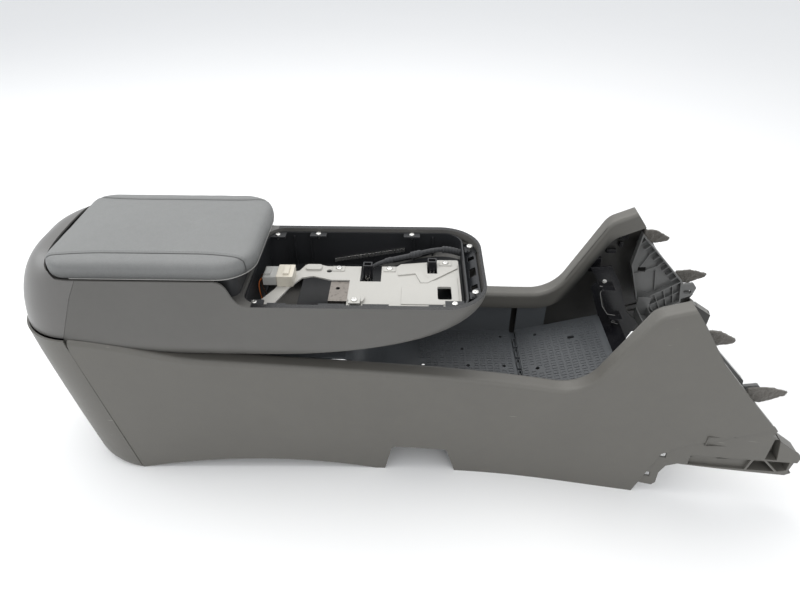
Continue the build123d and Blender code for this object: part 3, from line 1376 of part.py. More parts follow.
def front_cross_frame():
    """Ribbed black frame that closes the tray's front end and climbs to both ears."""
    line = list(FRAME_STEPS)
    back = [(x + FRAME_DEEP, z + 4.0) for x, z in reversed(line)]
    foot_x = line[-1][0]
    outline = [*line, (foot_x, FRAME_FOOT_Z), (foot_x + 16.0, FRAME_FOOT_Z), *back]
    beam_x = (TRAY_FRONT_X + TRIM_GAP, foot_x + 2.0)
    beam_z = (FRAME_FOOT_Z, TRAY_FRONT_Z - 16.0)
    beam = box(beam_x, (-FRAME_HALF, FRAME_HALF), beam_z)
    room_y = FRAME_HALF - 2.4
    beam -= box((beam_x[0] + 2.4, beam_x[1] + 5), (-room_y, room_y), (beam_z[0] - 5, beam_z[1] - 2.4))
    for step in range(-5, 6):
        y = step * 18.0
        beam += box((beam_x[0] + 1, beam_x[1]), (y - 1.0, y + 1.0), (beam_z[0], beam_z[1] - 1))
    plate = prism(outline, FRAME_HALF - FRAME_WALL, FRAME_HALF)
    plate -= bar_y(*FRAME_SCREW, 2.1, FRAME_HALF - 10, FRAME_HALF + 10)
    for side in both_sides(plate):
        beam += side
    for x, z in line[1:3]:
        shelf = box((x + 3, x + 26), (FRAME_HALF - 16, FRAME_HALF - 1), (z - 6.2, z - 4))
        for end in both_sides(shelf):
            beam += end
    return whole(beam)


def felt_tongue(x, z, long, tall, drop):
    """Felt-wrapped tongue on the left panel's front return: it tapers to a blunt point."""
    y = side_half(x, z) - FRONT_RETURN - SEAT_GAP
    outline = (
        (x, z - tall / 2),
        (x, z + tall / 2),
        (x + long * 0.45, z + tall / 2 + 1.0 - drop * 0.3),
        (x + long, z - drop + 3.0),
        (x + long - 2.0, z - drop - 3.0),
        (x + long * 0.5, z - tall / 2 - drop * 0.4),
    )
    tongue = prism(outline, y - FELT_THICK, y)
    return fillet(tongue.edges().filter_by(Axis.Y), 1.5)


def floor_bracket(x):
    """Steel cross strap between the panels with turned-up ends and two floor bolt holes."""
    span = (x - FOOT_WIDE / 2, x + FOOT_WIDE / 2)
    depth = WALL + SEAT_GAP
    half = STATIONS[-1][1] + 8.0
    strap = box(span, (-half, half), (FOOT_Z, FOOT_Z + FOOT_THICK))
    for outside in both_sides(side_sheet(-60.0, depth)):
        strap -= outside
    end = side_sheet(depth, depth + FOOT_THICK) & box(span, (0, half), (FOOT_Z, FOOT_Z + FOOT_RISE))
    for upright in both_sides(end):
        strap += upright
    for y in (-BOLT_Y, BOLT_Y):
        strap -= bar_z(x, y, BOLT_R, FOOT_Z - 5, FOOT_Z + FOOT_THICK + 5)
    return whole(strap)


def main():
    """Builds every piece and writes one file for each."""
    os.makedirs("parts", exist_ok=True)
    cover, bridge = upper_shells()
    room = upper_master(WALL + INNER_GAP)
    panel = side_panel(upper_master(-TRIM_GAP))
    pieces = {
        "rear_lower_cover": rear_lower_cover(),
        "rear_upper_cover": cover,
        "bridge_shell": bridge,
        "storage_bin": storage_bin(),
        "bin_mat": bin_mat(),
        "well_liner": well_liner(room),
        "nose_frame": nose_frame(room),
        "bracket_plate": bracket_plate(),
        "plate_screws": plate_screws(),
        "rim_screws": rim_screws(),
        "steel_guide": steel_guide(),
        "connector_socket": connector_socket(),
        "connector_plug": connector_plug(),
        "wiring_loom": round_wire(LOOM_ROUTE, LOOM_R),
        "rear_clip_holder": clip_holder(*CLIP_PLACES[0]),
        "front_clip_holder": clip_holder(*CLIP_PLACES[1]),
        "spring_clips": spring_clips(),
        "guide_strip": guide_strip(),
        "frame_screws": frame_screws(),
        "lid_cover": lid_cover(),
        "lid_inner_panel": lid_inner_panel(),
        "lid_screws": lid_screws(),
        "lid_bumpers": lid_bumpers(),
        "hinge_bracket": hinge_bracket(),
        "bracket_screws": bracket_screws(),
        "hinge_pin": hinge_pin(),
        "latch_lever": latch_lever(),
        "latch_pin": latch_pin(),
        "latch_spring": latch_spring(),
        "latch_striker": latch_striker(),
        "rear_tray": rear_tray(),
        "front_tray": front_tray(),
        "front_channel": front_channel(),
        "front_cross_frame": front_cross_frame(),
        "rear_floor_bracket": floor_bracket(FOOT_REAR_X),
        "front_floor_bracket": floor_bracket(FOOT_FRONT_X),
    }
    for name, route in LEAD_ROUTES.items():
        pieces[name] = round_wire(route, LEAD_R)
    paired = {
        "side_panel": panel,
        "front_brace": brace(),
        "upper_felt": felt_tongue(*UPPER_FELT),
        "lower_felt": felt_tongue(*LOWER_FELT),
    }
    for name, shape in paired.items():
        pieces[f"left_{name}"] = shape
        pieces[f"right_{name}"] = mirror(shape, Plane.XZ)
    for name, shape in pieces.items():
        export_step(shape, f"parts/{name}.step")


main()
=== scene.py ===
"""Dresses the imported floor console: padded lid, seams, treads, felts, leads, finishes and a pale studio."""

import json
import math

import bmesh
import bpy
from mathutils import Matrix, Vector, noise


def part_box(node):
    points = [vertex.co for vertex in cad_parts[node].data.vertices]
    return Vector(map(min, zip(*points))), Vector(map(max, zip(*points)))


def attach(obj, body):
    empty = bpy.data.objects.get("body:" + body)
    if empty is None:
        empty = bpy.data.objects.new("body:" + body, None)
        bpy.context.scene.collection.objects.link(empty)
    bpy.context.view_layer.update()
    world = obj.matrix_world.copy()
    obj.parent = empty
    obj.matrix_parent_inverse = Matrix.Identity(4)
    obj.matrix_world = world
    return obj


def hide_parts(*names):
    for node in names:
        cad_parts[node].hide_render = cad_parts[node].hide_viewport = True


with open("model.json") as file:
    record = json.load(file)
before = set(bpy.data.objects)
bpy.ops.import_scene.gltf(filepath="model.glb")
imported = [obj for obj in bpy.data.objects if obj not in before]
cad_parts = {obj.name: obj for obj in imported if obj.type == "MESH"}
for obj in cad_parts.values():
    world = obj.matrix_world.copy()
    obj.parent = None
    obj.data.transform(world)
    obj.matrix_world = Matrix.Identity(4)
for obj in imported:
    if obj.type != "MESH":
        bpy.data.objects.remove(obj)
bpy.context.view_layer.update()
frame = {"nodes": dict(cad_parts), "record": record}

bl_info = {
    "name": "Floor console dressing",
    "version": (1, 0, 0),
    "blender": (4, 5, 0),
    "location": "View3D > Sidebar > Console",
    "description": "Padded lid, seams, treads, felts, leads and finishes of a floor console",
    "category": "Object",
}

MM = 0.001

# Camera, in metres and degrees
CAMERA_PLACE = (0.0, -0.771, 0.803)
CAMERA_DOWN = 35.966
CAMERA_TURN = -1.2587
CAMERA_LENS = 27.9
CAMERA_SENSOR = 36.0

SIDES = {"left": 1, "right": -1}

# Lid, in millimetres
LID_REAR = -489.2
LID_FRONT = -209.0
LID_HALF = 104.5
LID_REAR_R = 34.0
LID_FRONT_R = 50.0
LID_FOOT = 346.0
LID_POCKET = 365.4
LID_WALL = 8.0
PIN_X = -480.0
PIN_Z = 361.5
ROLL = 9.2
EAR_Y = 44.5
EAR_WIDE = 4.0
EAR_GAP = 0.5
EAR_REAR = 16.0
EAR_LOW = 20.0
PIN_ROOM = 6.0
PIN_PAST = 4.0
PIN_LOW = 5.0
OUTLINE_STEP = 4.0
CORNER_STEP = 2.2

# Rings of the lid's skin: pulls to the spine and heights in its pocket, insets and heights up its side, turns of
# its rolled edge, and pulls of its top to the spine
POCKET_PULLS = (1.0, 0.66, 0.33, 0.0)
POCKET_RINGS = (LID_POCKET - 3.0, 356.0, 350.0, LID_FOOT)
FOOT_IN = 4.5
SIDE_RINGS = ((2.0, LID_FOOT), (0.9, 348.0), (0.0, 351.5), (0.0, 355.0), (0.2, 358.4), (0.6, 361.5))
SIDE_IN = 0.6
EDGE_TURNS = (16, 32, 48, 64, 78, 90)
TOP_PULLS = (
    *(0.025, 0.05, 0.075, 0.098, 0.118, 0.138, 0.162, 0.19, 0.225, 0.27),
    *(0.32, 0.38, 0.45, 0.53, 0.62, 0.71, 0.8, 0.9, 1.0),
)

# Rise and fall of the lid's top, in millimetres
CROWN_LONG = 133.0
CROWN_WIDE = 92.0
CROWN_ALONG = 3.0
CROWN_ACROSS = 2.4
EDGE_CROWN = 6
DROP_X = -330.0
DROP_LONG = 121.0
DROP_SHARE = 0.6

# Each seam bows outwards ahead of one place and behind another, in millimetres
SEAM_FRONT_X = -285.0
SEAM_FRONT_LONG = 72.0
SEAM_FRONT_OUT = 9.0
SEAM_REAR_X = -405.0
SEAM_REAR_LONG = 80.0
SEAM_REAR_OUT = 7.5
SEAM_HELD = 1.3
SEAM_WIDE = 1.2
PILLOW_PLACE = 4.5
PILLOW_WIDE = 2.6
PILLOW_TALL = 0.3

# Ripples of the leather, as noise scales and heights, and how far from a seam they are calm, in millimetres
RIPPLES = ((55.0, 0.25), (17.0, 0.35))
RIPPLE_CALM = 10.0

# Heights on the lid, in metres: its skin is held below the first and dressed above the second
HELD_BELOW = 0.3535
DRESSED_FROM = 0.3475
DRESSED_FADE = 0.006
POCKET_BELOW = 0.3656
POCKET_NEAR = 0.0004

# Distance in millimetres from the lid's outline that its pocket's walls lie past, and the frames of its puffing
POCKET_IN = 7.0
CLOTH_FRAMES = 20

# Heights on the leather where shade is painted, darker towards the lid's foot and on its side strip, in metres
FOOT_SHADE_BAND = (0.346, 0.361)
STRIP_SHADE_BAND = (0.3665, 0.3705)

# Stitches, in millimetres
STITCH = {"Long": 2.7, "Wide": 0.6, "Tall": 0.55}
STITCH_REAR = 9.0
STITCH_FRONT = 6.5
STITCH_OFF = 4.2
STITCH_LIFT = 0.05

# Section of the lid's base edge, as insets and heights in millimetres
BASE_EDGE = ((3.4, 346.6), (3.4, 345.2), (1.6, 345.2), (1.2, 345.7), (1.5, 346.6))

# Rim of the side panels, as places along X and heights, and the depths below it over which painted shade darkens
# their inner faces, in millimetres
RIM_LINE = ((-290.0, 220.5), (246.0, 180.5), (321.0, 318.0))
RIM_SHADE_BAND = (16.0, 46.0)

# Shelf round the well: its rear end in millimetres, its fade and the bands where it starts and ends in metres
SHELF_REAR_X = -214.0
SHELF_FADE = 0.002
SHELF_LOW = (0.3078, 0.3086)
SHELF_HIGH = (0.3095, 0.3105)
SHELF_BLACK = (0.012, 0.012, 0.013)

# Blocks of the clip rail on each ear's inner face, as spans along X and Z in millimetres
RAIL_CLIPS = (
    ((346, 362), (276, 292)),
    ((330, 347), (249, 256)),
    ((306, 325), (212, 240)),
    ((350, 356), (260, 270)),
)
CLIP_DEEP = 7.0
CLIP_SUNK = 0.5

# Web behind each end of the cross frame, with the place and radius of a pale rod of painted highlight along its
# stepped edge, in millimetres
WEB_EDGE = (
    *((321, 203), (327, 201), (324, 188), (333, 160), (345, 143)),
    *((359, 141), (355, 126), (369, 121), (372, 80)),
)
WEB_FOOT = ((352, 80), (306, 200), (314, 212))
WEB_FACES = (104.0, 105.4)
WEB_HIGHLIGHT_Y = 103.6
WEB_HIGHLIGHT_R = 0.6

# Raised outlines on each front flange, as spans along X and Z in millimetres
FLANGE_PADS = (((425, 478), (109, 128)), ((392, 437), (77, 91)), ((452, 474), (80, 92)))
PAD_LINE = 1.2
PAD_SUNK = 1.0
PAD_TALL = 0.9

# Where rays across a side panel and down to the lid start, and the panel's usual faces, in millimetres
RAY_INSIDE = 60.0
RAY_OUTSIDE = 320.0
RAY_ABOVE = 420.0
PANEL_INSIDE = 128.0
PANEL_OUTSIDE = 165.0

# Lower tray, in millimetres
TRAY_Z = 99.0
TRAY_FRONT_Z = 138.0
TRAY_JOINT_X = 187.4
TRAY_FRONT_X = 331.0
GROOVE_END_X = 187.0
GROOVE_Z = 94.0
TRAY_HOLES = ((160, 92), (158, 14), (22, 16), (90, 57), (98, 14), (220, 88), (212, 2), (276, 63))
TREAD_SPANS = {"rear_tray_treads": (20.0, 173.0), "front_tray_treads": (194.0, 322.0)}
TREAD_HALF = 102.0
TREAD_CLEAR = 7.5
TREAD_ROWS = 0.92
TREAD = {"Long": 8.4, "Wide": 8.0, "Line": 1.0}
CELL = {"Long": 6.0, "Wide": 23.0, "Line": 1.1, "Tall": 4.9}
CELL_IN = 3.3
CELL_PLACES = range(-92, 93, 28)
SUNK = 0.05

# Felt tongues, as length, height and drop of the tip in millimetres, and the seed of the left one
FELTS = {"upper": (44.0, 22.0, 6.0, 3), "lower": (55.0, 26.0, -5.0, 7)}
FELT_IN = 0.8
FELT_ROUND = 1.0
FELT_GRID = 1.1
FELT_NOISE = ((160.0, 0.9), (420.0, 0.5))
FIBRE_THICK = 0.11
FIBRE_LEAN = (1.15, 1.15, 3.1)
FIBRE_SHORT = 0.35

# Routes of the leads and the loom, in metres
ORANGE_ROUTE = (
    (-0.209, -0.020, 0.2954),
    (-0.213, -0.020, 0.2954),
    (-0.217, -0.020, 0.2953),
    (-0.2215, -0.0208, 0.2934),
    (-0.2245, -0.023, 0.286),
    (-0.224, -0.025, 0.270),
    (-0.220, -0.027, 0.252),
    (-0.214, -0.028, 0.236),
)
BROWN_ROUTE = (
    (-0.209, -0.009, 0.2954),
    (-0.213, -0.009, 0.2954),
    (-0.217, -0.009, 0.2953),
    (-0.222, -0.0082, 0.2932),
    (-0.225, -0.007, 0.285),
    (-0.224, -0.006, 0.268),
    (-0.219, -0.005, 0.251),
    (-0.212, -0.004, 0.236),
)
LOOM_ROUTE = (
    (0.078, 0.070, 0.286),
    (0.064, 0.072, 0.290),
    (0.042, 0.066, 0.295),
    (0.018, 0.054, 0.2965),
    (-0.006, 0.046, 0.294),
    (-0.032, 0.0405, 0.291),
    (-0.056, 0.036, 0.284),
    (-0.072, 0.033, 0.268),
    (-0.078, 0.031, 0.248),
)
LEAD_R = 0.0009
LOOM_R = 0.0036

# Wraps of the loom: start and end as shares of its length, radius in millimetres, and laps
LOOM_WRAPS = ((0.0, 0.17, 5.2, 6), (0.37, 0.46, 4.9, 3), (0.62, 0.68, 4.3, 2))
WRAP_SIDES = 16
WRAP_STEP = 0.05
WRAP_END = 0.93

# Studio, in metres: floor, sky and the lights' place, aim, width, height, power and colour
FLOOR_HALF = 60.0
FLOOR_COLOUR = (0.93, 0.93, 0.925)
SKY_COLOUR = (0.95, 0.97, 1.0, 1.0)
SKY_STRENGTH = 0.85
LIGHTS = (
    ("top", (-0.3, 0.5, 1.9), (0.0, 0.05, 0.2), 2.2, 1.6, 24.0, (1.0, 0.985, 0.96)),
    ("front", (0.5, -2.2, 1.5), (0.0, 0.0, 0.15), 1.6, 1.2, 10.0, (1.0, 0.99, 0.97)),
    ("side", (-2.4, 0.3, 1.3), (-0.2, 0.0, 0.3), 1.4, 1.4, 14.0, (0.95, 0.98, 1.0)),
)


def size(name, description, default, low=0.0, high=100.0):
    """A length in millimetres that a user can change."""
    return bpy.props.FloatProperty(name=name, description=description, default=default, min=low, max=high)


def tint(name, description, default):
    """A colour that a user can change."""
    return bpy.props.FloatVectorProperty(
        name=name, description=description, default=default, size=3, subtype="COLOR", min=0.0, max=1.0
    )


class ConsoleSizes(bpy.types.PropertyGroup):
    """Sizes of the dressing, in millimetres."""

    crown: size("Lid crown", "Rise of the lid's top above its edge, in mm", 2.4)
    front_drop: size("Lid front drop", "How far the lid's top falls towards its front edge, in mm", 1.4)
    puff: size("Lid puff", "Furthest that the leather may swell, in mm", 2.0)
    seam_deep: size("Seam depth", "Depth of the lid's two long seams, in mm", 1.1)
    seam_half: size("Seam place", "Distance of each seam from the lid's middle, in mm", 78.0)
    stitch_pitch: size("Stitch pitch", "Distance from stitch to stitch, in mm", 4.2, 1.0)
    tread_pitch: size("Tread pitch", "Distance from tread to tread, in mm", 12.5, 6.0)
    tread_tall: size("Tread height", "Height of the raised outlines on the tray floor, in mm", 0.7)
    fibre_long: size("Fibre length", "Length of the felt's loose fibres, in mm", 2.6)
    fibre_count: bpy.props.IntProperty(
        name="Fibres", description="Loose fibres on each felt tongue", default=900, min=0, max=4000
    )


class ConsoleColours(bpy.types.PropertyGroup):
    """Main colours of the console."""

    panel: tint("Panels", "Side panels and lower rear cover", (0.118, 0.113, 0.101))
    cover: tint("Upper cover", "Upper rear cover", (0.128, 0.124, 0.118))
    bridge: tint("Bridge", "Bridge shell", (0.108, 0.105, 0.098))
    leather: tint("Leather", "Padded lid", (0.205, 0.209, 0.206))
    tray: tint("Tray", "Lower tray", (0.078, 0.084, 0.090))
    plate: tint("Bracket plate", "Plate in the well", (0.46, 0.45, 0.42))
    felt: tint("Felt", "Felt tongues", (0.100, 0.092, 0.080))


def sizes():
    """The sizes in use."""
    return bpy.context.scene.console_sizes


def colours():
    """The colours in use."""
    return bpy.context.scene.console_colours


class Wire:
    """A socket's value: sums and products with it add Math nodes to its tree."""

    def __init__(self, tree, socket):
        self.tree = tree
        self.socket = socket

    def math(self, operation, *values):
        return self.tree.node("ShaderNodeMath", {"operation": operation}, values)

    def __add__(self, other):
        return self.math("ADD", self, other)

    def __radd__(self, other):
        return self.math("ADD", other, self)

    def __sub__(self, other):
        return self.math("SUBTRACT", self, other)

    def __rsub__(self, other):
        return self.math("SUBTRACT", other, self)

    def __mul__(self, other):
        return self.math("MULTIPLY", self, other)

    def __rmul__(self, other):
        return self.math("MULTIPLY", other, self)

    def __truediv__(self, other):
        return self.math("DIVIDE", self, other)

    def __rtruediv__(self, other):
        return self.math("DIVIDE", other, self)

    def __abs__(self):
        return self.math("ABSOLUTE", self)

    def clear(self, low, high):
        """0 at low and 1 at high, smooth between."""
        return self.tree.node(
            "ShaderNodeMapRange",
            {"interpolation_type": "SMOOTHSTEP"},
            {"Value": self, "From Min": low, "From Max": high, "To Min": 0.0, "To Max": 1.0},
        )


class Nodes:
    """A node tree with one method for every kind of node."""

    def __init__(self, tree):
        self.tree = tree

    def node(self, kind, settings=None, values=None, output=0):
        made = self.tree.nodes.new(kind)
        for name, value in (settings or {}).items():
            setattr(made, name, value)
        items = values.items() if isinstance(values, dict) else enumerate(values or ())
        for key, value in items:
            if isinstance(value, Wire):
                self.tree.links.new(value.socket, made.inputs[key])
            else:
                made.inputs[key].default_value = value
        return Wire(self, made.outputs[output])

    def more(self, wire, output):
        """Another output of the node that a wire comes from."""
        return Wire(self, wire.socket.node.outputs[output])


def plain(colour):
    """A colour with full alpha."""
    return (*colour[:3], 1.0)


class Finish(Nodes):
    """A material that is built on one shader, with patterns on Object coordinates."""

    def __init__(self, name, **constants):
        self.material = bpy.data.materials.new(name)
        self.material.use_nodes = True
        super().__init__(self.material.node_tree)
        self.tree.nodes.clear()
        self.shader = self.tree.nodes.new("ShaderNodeBsdfPrincipled")
        output = self.tree.nodes.new("ShaderNodeOutputMaterial")
        self.tree.links.new(self.shader.outputs[0], output.inputs[0])
        for socket, value in constants.items():
            self.shader.inputs[socket.replace("_", " ")].default_value = value
        self.place = self.node("ShaderNodeTexCoord", output="Object")

    def feed(self, socket, wire):
        """Links what changes over the surface to one of the shader's sockets."""
        self.tree.links.new(wire.socket, self.shader.inputs[socket])

    def done(self, base, roughness, normal):
        """The material, with its colour, roughness and normal fed."""
        self.feed("Base Color", base)
        self.feed("Roughness", roughness)
        self.feed("Normal", normal)
        return self.material

    def split(self, vector):
        """The X, Y and Z of a vector."""
        first = self.node("ShaderNodeSeparateXYZ", None, [vector])
        return first, self.more(first, 1), self.more(first, 2)

    def facing(self):
        """The direction that the surface faces."""
        return self.node("ShaderNodeNewGeometry", output="Normal")

    def stretched(self, scale, turn=(0.0, 0.0, 0.0)):
        values = {"Vector": self.place, "Scale": scale, "Rotation": [math.radians(a) for a in turn]}
        return self.node("ShaderNodeMapping", None, values)

    def cloud(self, scale, detail=3.0, rough=0.55, place=None, twist=0.0):
        """Soft noise from 0 to 1."""
        values = {
            "Vector": place or self.place,
            "Scale": scale,
            "Detail": detail,
            "Roughness": rough,
            "Distortion": twist,
        }
        return self.node("ShaderNodeTexNoise", None, values)

    def cells(self, scale, feature="F1", place=None):
        """Distance inside cells, as in a leather's or a mould's grain."""
        values = {"Vector": place or self.place, "Scale": scale}
        return self.node("ShaderNodeTexVoronoi", {"feature": feature}, values)

    def shaded(self, colour, share):
        """A colour made lighter or darker by a varying share."""
        values = {0: colour if isinstance(colour, Wire) else colour[:3], "Scale": share}
        return self.node("ShaderNodeVectorMath", {"operation": "SCALE"}, values)

    def mixed(self, share, first, second):
        """One colour or the other."""
        pair = [c if isinstance(c, Wire) else plain(c) for c in (first, second)]
        return self.node("ShaderNodeMix", {"data_type": "RGBA"}, {0: share, 6: pair[0], 7: pair[1]}, 2)

    def soft_edges(self, radius):
        """Normal that rounds sharp edges by a radius in metres."""
        return self.node("ShaderNodeBevel", {"samples": 4}, {"Radius": radius})

    def edge_wear_and_highlight(self, rounded):
        """1 on sharp edges, 0 on flat faces."""
        values = [rounded, self.facing()]
        same = self.node("ShaderNodeVectorMath", {"operation": "DOT_PRODUCT"}, values, "Value")
        return (1.0 - same).clear(0.02, 0.25)

    def inner_wall_painted_shade(self):
        """Painted shade mask: 1 on faces of a side panel that look at the console's middle, well below the rim,
        where shade falls.
        """
        along, across, high = self.split(self.place)
        side = across.math("SIGN", across)
        turned = (self.split(self.facing())[1] * side * -1.0).clear(0.3, 0.8)
        (rear_x, rear_z), (low_x, low_z), (top_x, top_z) = RIM_LINE
        behind = (low_x * MM - along) * ((rear_z - low_z) / (low_x - rear_x))
        ahead = (along - low_x * MM) * ((top_z - low_z) / (top_x - low_x))
        rise = behind.math("MAXIMUM", behind, ahead)
        rim = rise.math("MINIMUM", rise + low_z * MM, top_z * MM)
        return turned * (rim - high).clear(RIM_SHADE_BAND[0] * MM, RIM_SHADE_BAND[1] * MM)

    def on_shelf(self):
        """1 on the level shelf round the well, 0 elsewhere."""
        along, across, high = self.split(self.place)
        level = self.split(self.facing())[2].clear(0.9, 0.98) * high.clear(*SHELF_LOW)
        ahead = along.clear(SHELF_REAR_X * MM - SHELF_FADE, SHELF_REAR_X * MM)
        return level * ahead * (1.0 - high.clear(*SHELF_HIGH))

    def relief(self, height, deep, normal=None, strength=1.0):
        """A bump of that depth in metres."""
        values = {"Height": height, "Distance": deep, "Strength": strength}
        if normal:
            values["Normal"] = normal
        return self.node("ShaderNodeBump", None, values)


def moulded(
    name, colour, rough=0.5, grain=0.8, deep=0.05, mottle=0.12, wear_and_highlight=0.25, scuffs=0.0, inside=0.0, shelf=0.0
):
    """Moulded plastic: fine mould grain, faint blotches, edges lightened by rubbed wear and painted highlight,
    and a few scratches.
    """
    finish = Finish(name)
    blotch = finish.cloud(9.0, 4.0, 0.6)
    dust = finish.cloud(70.0, 3.0, 0.6)
    speck = finish.cloud(1500.0, 2.0)
    shade = 1.0 + (blotch - 0.5) * mottle * 2.0 + (dust - 0.5) * mottle + (speck - 0.5) * 0.16
    base = finish.shaded(colour, shade)
    rounded = finish.soft_edges(0.0007)
    # Sharp edges are lightened in patches: partly rubbed wear, partly painted highlight.
    rub_and_highlight = finish.edge_wear_and_highlight(rounded) * finish.cloud(55.0, 3.0).clear(0.35, 0.7)
    worn_and_highlight_tone = [min(1.0, c * 1.9 + 0.05) for c in colour[:3]]
    base = finish.mixed(rub_and_highlight * wear_and_highlight, base, worn_and_highlight_tone)
    roughness = rough + (blotch - 0.5) * 0.16 + (dust - 0.5) * 0.1
    # Painted shade: the inner faces of the side panels turn nearly black well below the rim, where shade falls.
    if inside:
        base = finish.mixed(finish.inner_wall_painted_shade() * inside, base, [c * 0.12 for c in colour[:3]])
    if shelf:
        level = finish.on_shelf()
        base = finish.mixed(level * shelf, base, SHELF_BLACK)
        roughness = roughness - level * 0.2
    if scuffs:
        marks = 0.0
        for turn, long in (((0, 24, 8), 1.0), ((0, -38, 60), 1.3), ((10, 70, -20), 0.8)):
            place = finish.stretched((3.0 * long, 150.0, 150.0), turn)
            line = finish.cloud(1.6, 2.0, 0.5, place).clear(0.73, 0.77)
            marks = marks + line * finish.cloud(14.0 * long, 2.0).clear(0.55, 0.68)
        base = finish.mixed(marks * scuffs, base, worn_and_highlight_tone)
        roughness = roughness + marks * 0.1
    pits = finish.cells(1000.0 / grain) + finish.cloud(2200.0 / grain, 2.0) * 0.5
    return finish.done(base, roughness, finish.relief(pits, deep * MM, rounded))


def glossy(name, colour, rough=0.12, smudge=0.18):
    """Smooth gloss plastic with faint smears and dust."""
    finish = Finish(name)
    smear = finish.cloud(22.0, 4.0, 0.6, twist=1.5)
    dust = finish.cloud(900.0, 2.0).clear(0.66, 0.78)
    rounded = finish.soft_edges(0.0005)
    rub_and_highlight = finish.edge_wear_and_highlight(rounded)
    base = finish.shaded(colour, 1.0 + (smear - 0.5) * 0.3)
    # Dust, and sharp edges lightened as painted highlight and rubbed wear.
    base = finish.mixed(dust * 0.12 + rub_and_highlight * 0.22, base, (0.42, 0.42, 0.40))
    normal = finish.relief(finish.cloud(160.0, 2.0), 0.00003, rounded)
    return finish.done(base, rough + smear * smudge + dust * 0.25, normal)


def metal(name, colour, rough=0.34, brushed=0.3, stain=0.15):
    """Plated or brushed steel with a fine drawn grain, dull patches and bright edges."""
    finish = Finish(name, Metallic=1.0)
    drawn = finish.cloud(1.0, 3.0, 0.6, finish.stretched((60.0, 2600.0, 900.0)))
    patch = finish.cloud(240.0, 3.0, 0.6)
    rounded = finish.soft_edges(0.0004)
    rub_and_highlight = finish.edge_wear_and_highlight(rounded)
    base = finish.shaded(colour, 1.0 + (drawn - 0.5) * brushed - patch.clear(0.52, 0.7) * stain)
    bright = [min(1.0, c * 1.5 + 0.1) for c in colour[:3]]
    roughness = rough + (patch - 0.5) * 0.3 + (drawn - 0.5) * 0.12
    # Bright edges: partly rubbed wear, partly painted highlight.
    base = finish.mixed(rub_and_highlight * 0.5, base, bright)
    return finish.done(base, roughness, finish.relief(drawn, 0.00002, rounded))


def wire_skin(name, colour, rough=0.42):
    """Insulation of a thin wire, a little dusty."""
    finish = Finish(name)
    grime = finish.cloud(420.0, 3.0)
    dusty = grime.clear(0.5, 0.75) * 0.35
    base = finish.mixed(dusty, finish.shaded(colour, 0.85 + grime * 0.3), (0.2, 0.18, 0.15))
    return finish.done(base, rough + grime * 0.2, finish.relief(grime, 0.00003))


def sleeve_skin(name, colour):
    """Black woven tape, wound round the loom in narrow laps."""
    finish = Finish(name, Sheen_Weight=0.2)
    slanted = finish.stretched((1.0, 1.0, 1.0), (0.0, 14.0, 22.0))
    values = {"Vector": slanted, "Scale": 75.0, "Distortion": 0.6, "Detail": 1.0}
    lap = finish.node("ShaderNodeTexWave", {"bands_direction": "X", "wave_profile": "SAW"}, values, "Fac")
    weave = finish.cells(1700.0)
    fray = finish.cloud(300.0, 3.0)
    shade = 0.55 + lap * 0.55 + (fray - 0.5) * 0.5
    normal = finish.relief(lap * 0.8 + weave * 0.25, 0.0003)
    return finish.done(finish.shaded(colour, shade), 0.55 + weave * 0.3, normal)


def leather_skin(name, colour):
    """Grained leather: small pebbles with creases, darker seam, soft sheen, a few blotches and painted shade
    towards the lid's foot and on its side strip.
    """
    finish = Finish(name, Sheen_Weight=0.08, Sheen_Roughness=0.4, Specular_IOR_Level=0.42)
    bent = finish.cloud(260.0, 2.0)
    shifted = finish.shaded(finish.more(bent, 1), 0.0012)
    place = finish.node("ShaderNodeVectorMath", {"operation": "ADD"}, [finish.place, shifted])
    crease = finish.cells(780.0, "DISTANCE_TO_EDGE", place).clear(0.0, 0.28)
    pebble = finish.cells(780.0, "F1", place)
    blotch = finish.cloud(7.0, 3.0, 0.5)
    fine = finish.cloud(110.0, 3.0, 0.6)
    along, across, high = finish.split(finish.place)
    half = seam_half(along * (1.0 / MM), lambda value, low: value.math("MAXIMUM", value, low))
    gap = abs(abs(across) - half * MM)
    dark_seam = 1.0 - gap.clear(0.00035, 0.0011)
    # Darker by a tenth within about 5 mm of each seam.
    seam_darkening = 1.0 - gap.clear(0.0008, 0.0052)
    # Painted shade: the leather darkens towards the lid's foot and on its side strip, where less light falls.
    foot = 1.0 - high.clear(*FOOT_SHADE_BAND)
    strip = 1.0 - high.clear(*STRIP_SHADE_BAND)
    shade = 0.93 + crease * 0.09 + (blotch - 0.5) * 0.16 + (fine - 0.5) * 0.1
    shade = shade - seam_darkening * 0.1 - foot * 0.42 - strip * 0.14
    base = finish.mixed(dark_seam * 0.82, finish.shaded(colour, shade), [c * 0.16 for c in colour[:3]])
    roughness = 0.5 + (blotch - 0.5) * 0.1 + (1.0 - crease) * 0.12
    grainy = finish.relief(crease * 0.8 - pebble * 0.3 + fine * 0.4, 0.00016)
    return finish.done(base, roughness, finish.relief(dark_seam * -1.0, 0.0006, grainy))


def felt_skin(name, colour):
    """Matted felt: clumps of light and dark fibres."""
    finish = Finish(name, Sheen_Weight=0.35, Sheen_Roughness=0.6, Specular_IOR_Level=0.2)
    clump = finish.cloud(190.0, 4.0, 0.7)
    fibre = finish.cloud(1.0, 3.0, 0.7, finish.stretched((500.0, 1500.0, 2400.0), (20, 30, 10)), 0.8)
    shade = 0.55 + clump * 0.55 + fibre * 0.5
    base = finish.mixed(fibre.clear(0.62, 0.8) * 0.5, finish.shaded(colour, shade), (0.36, 0.34, 0.30))
    normal = finish.relief(clump + fibre * 0.7, 0.0007)
    return finish.done(base, 0.9 + (clump - 0.5) * 0.1, normal)


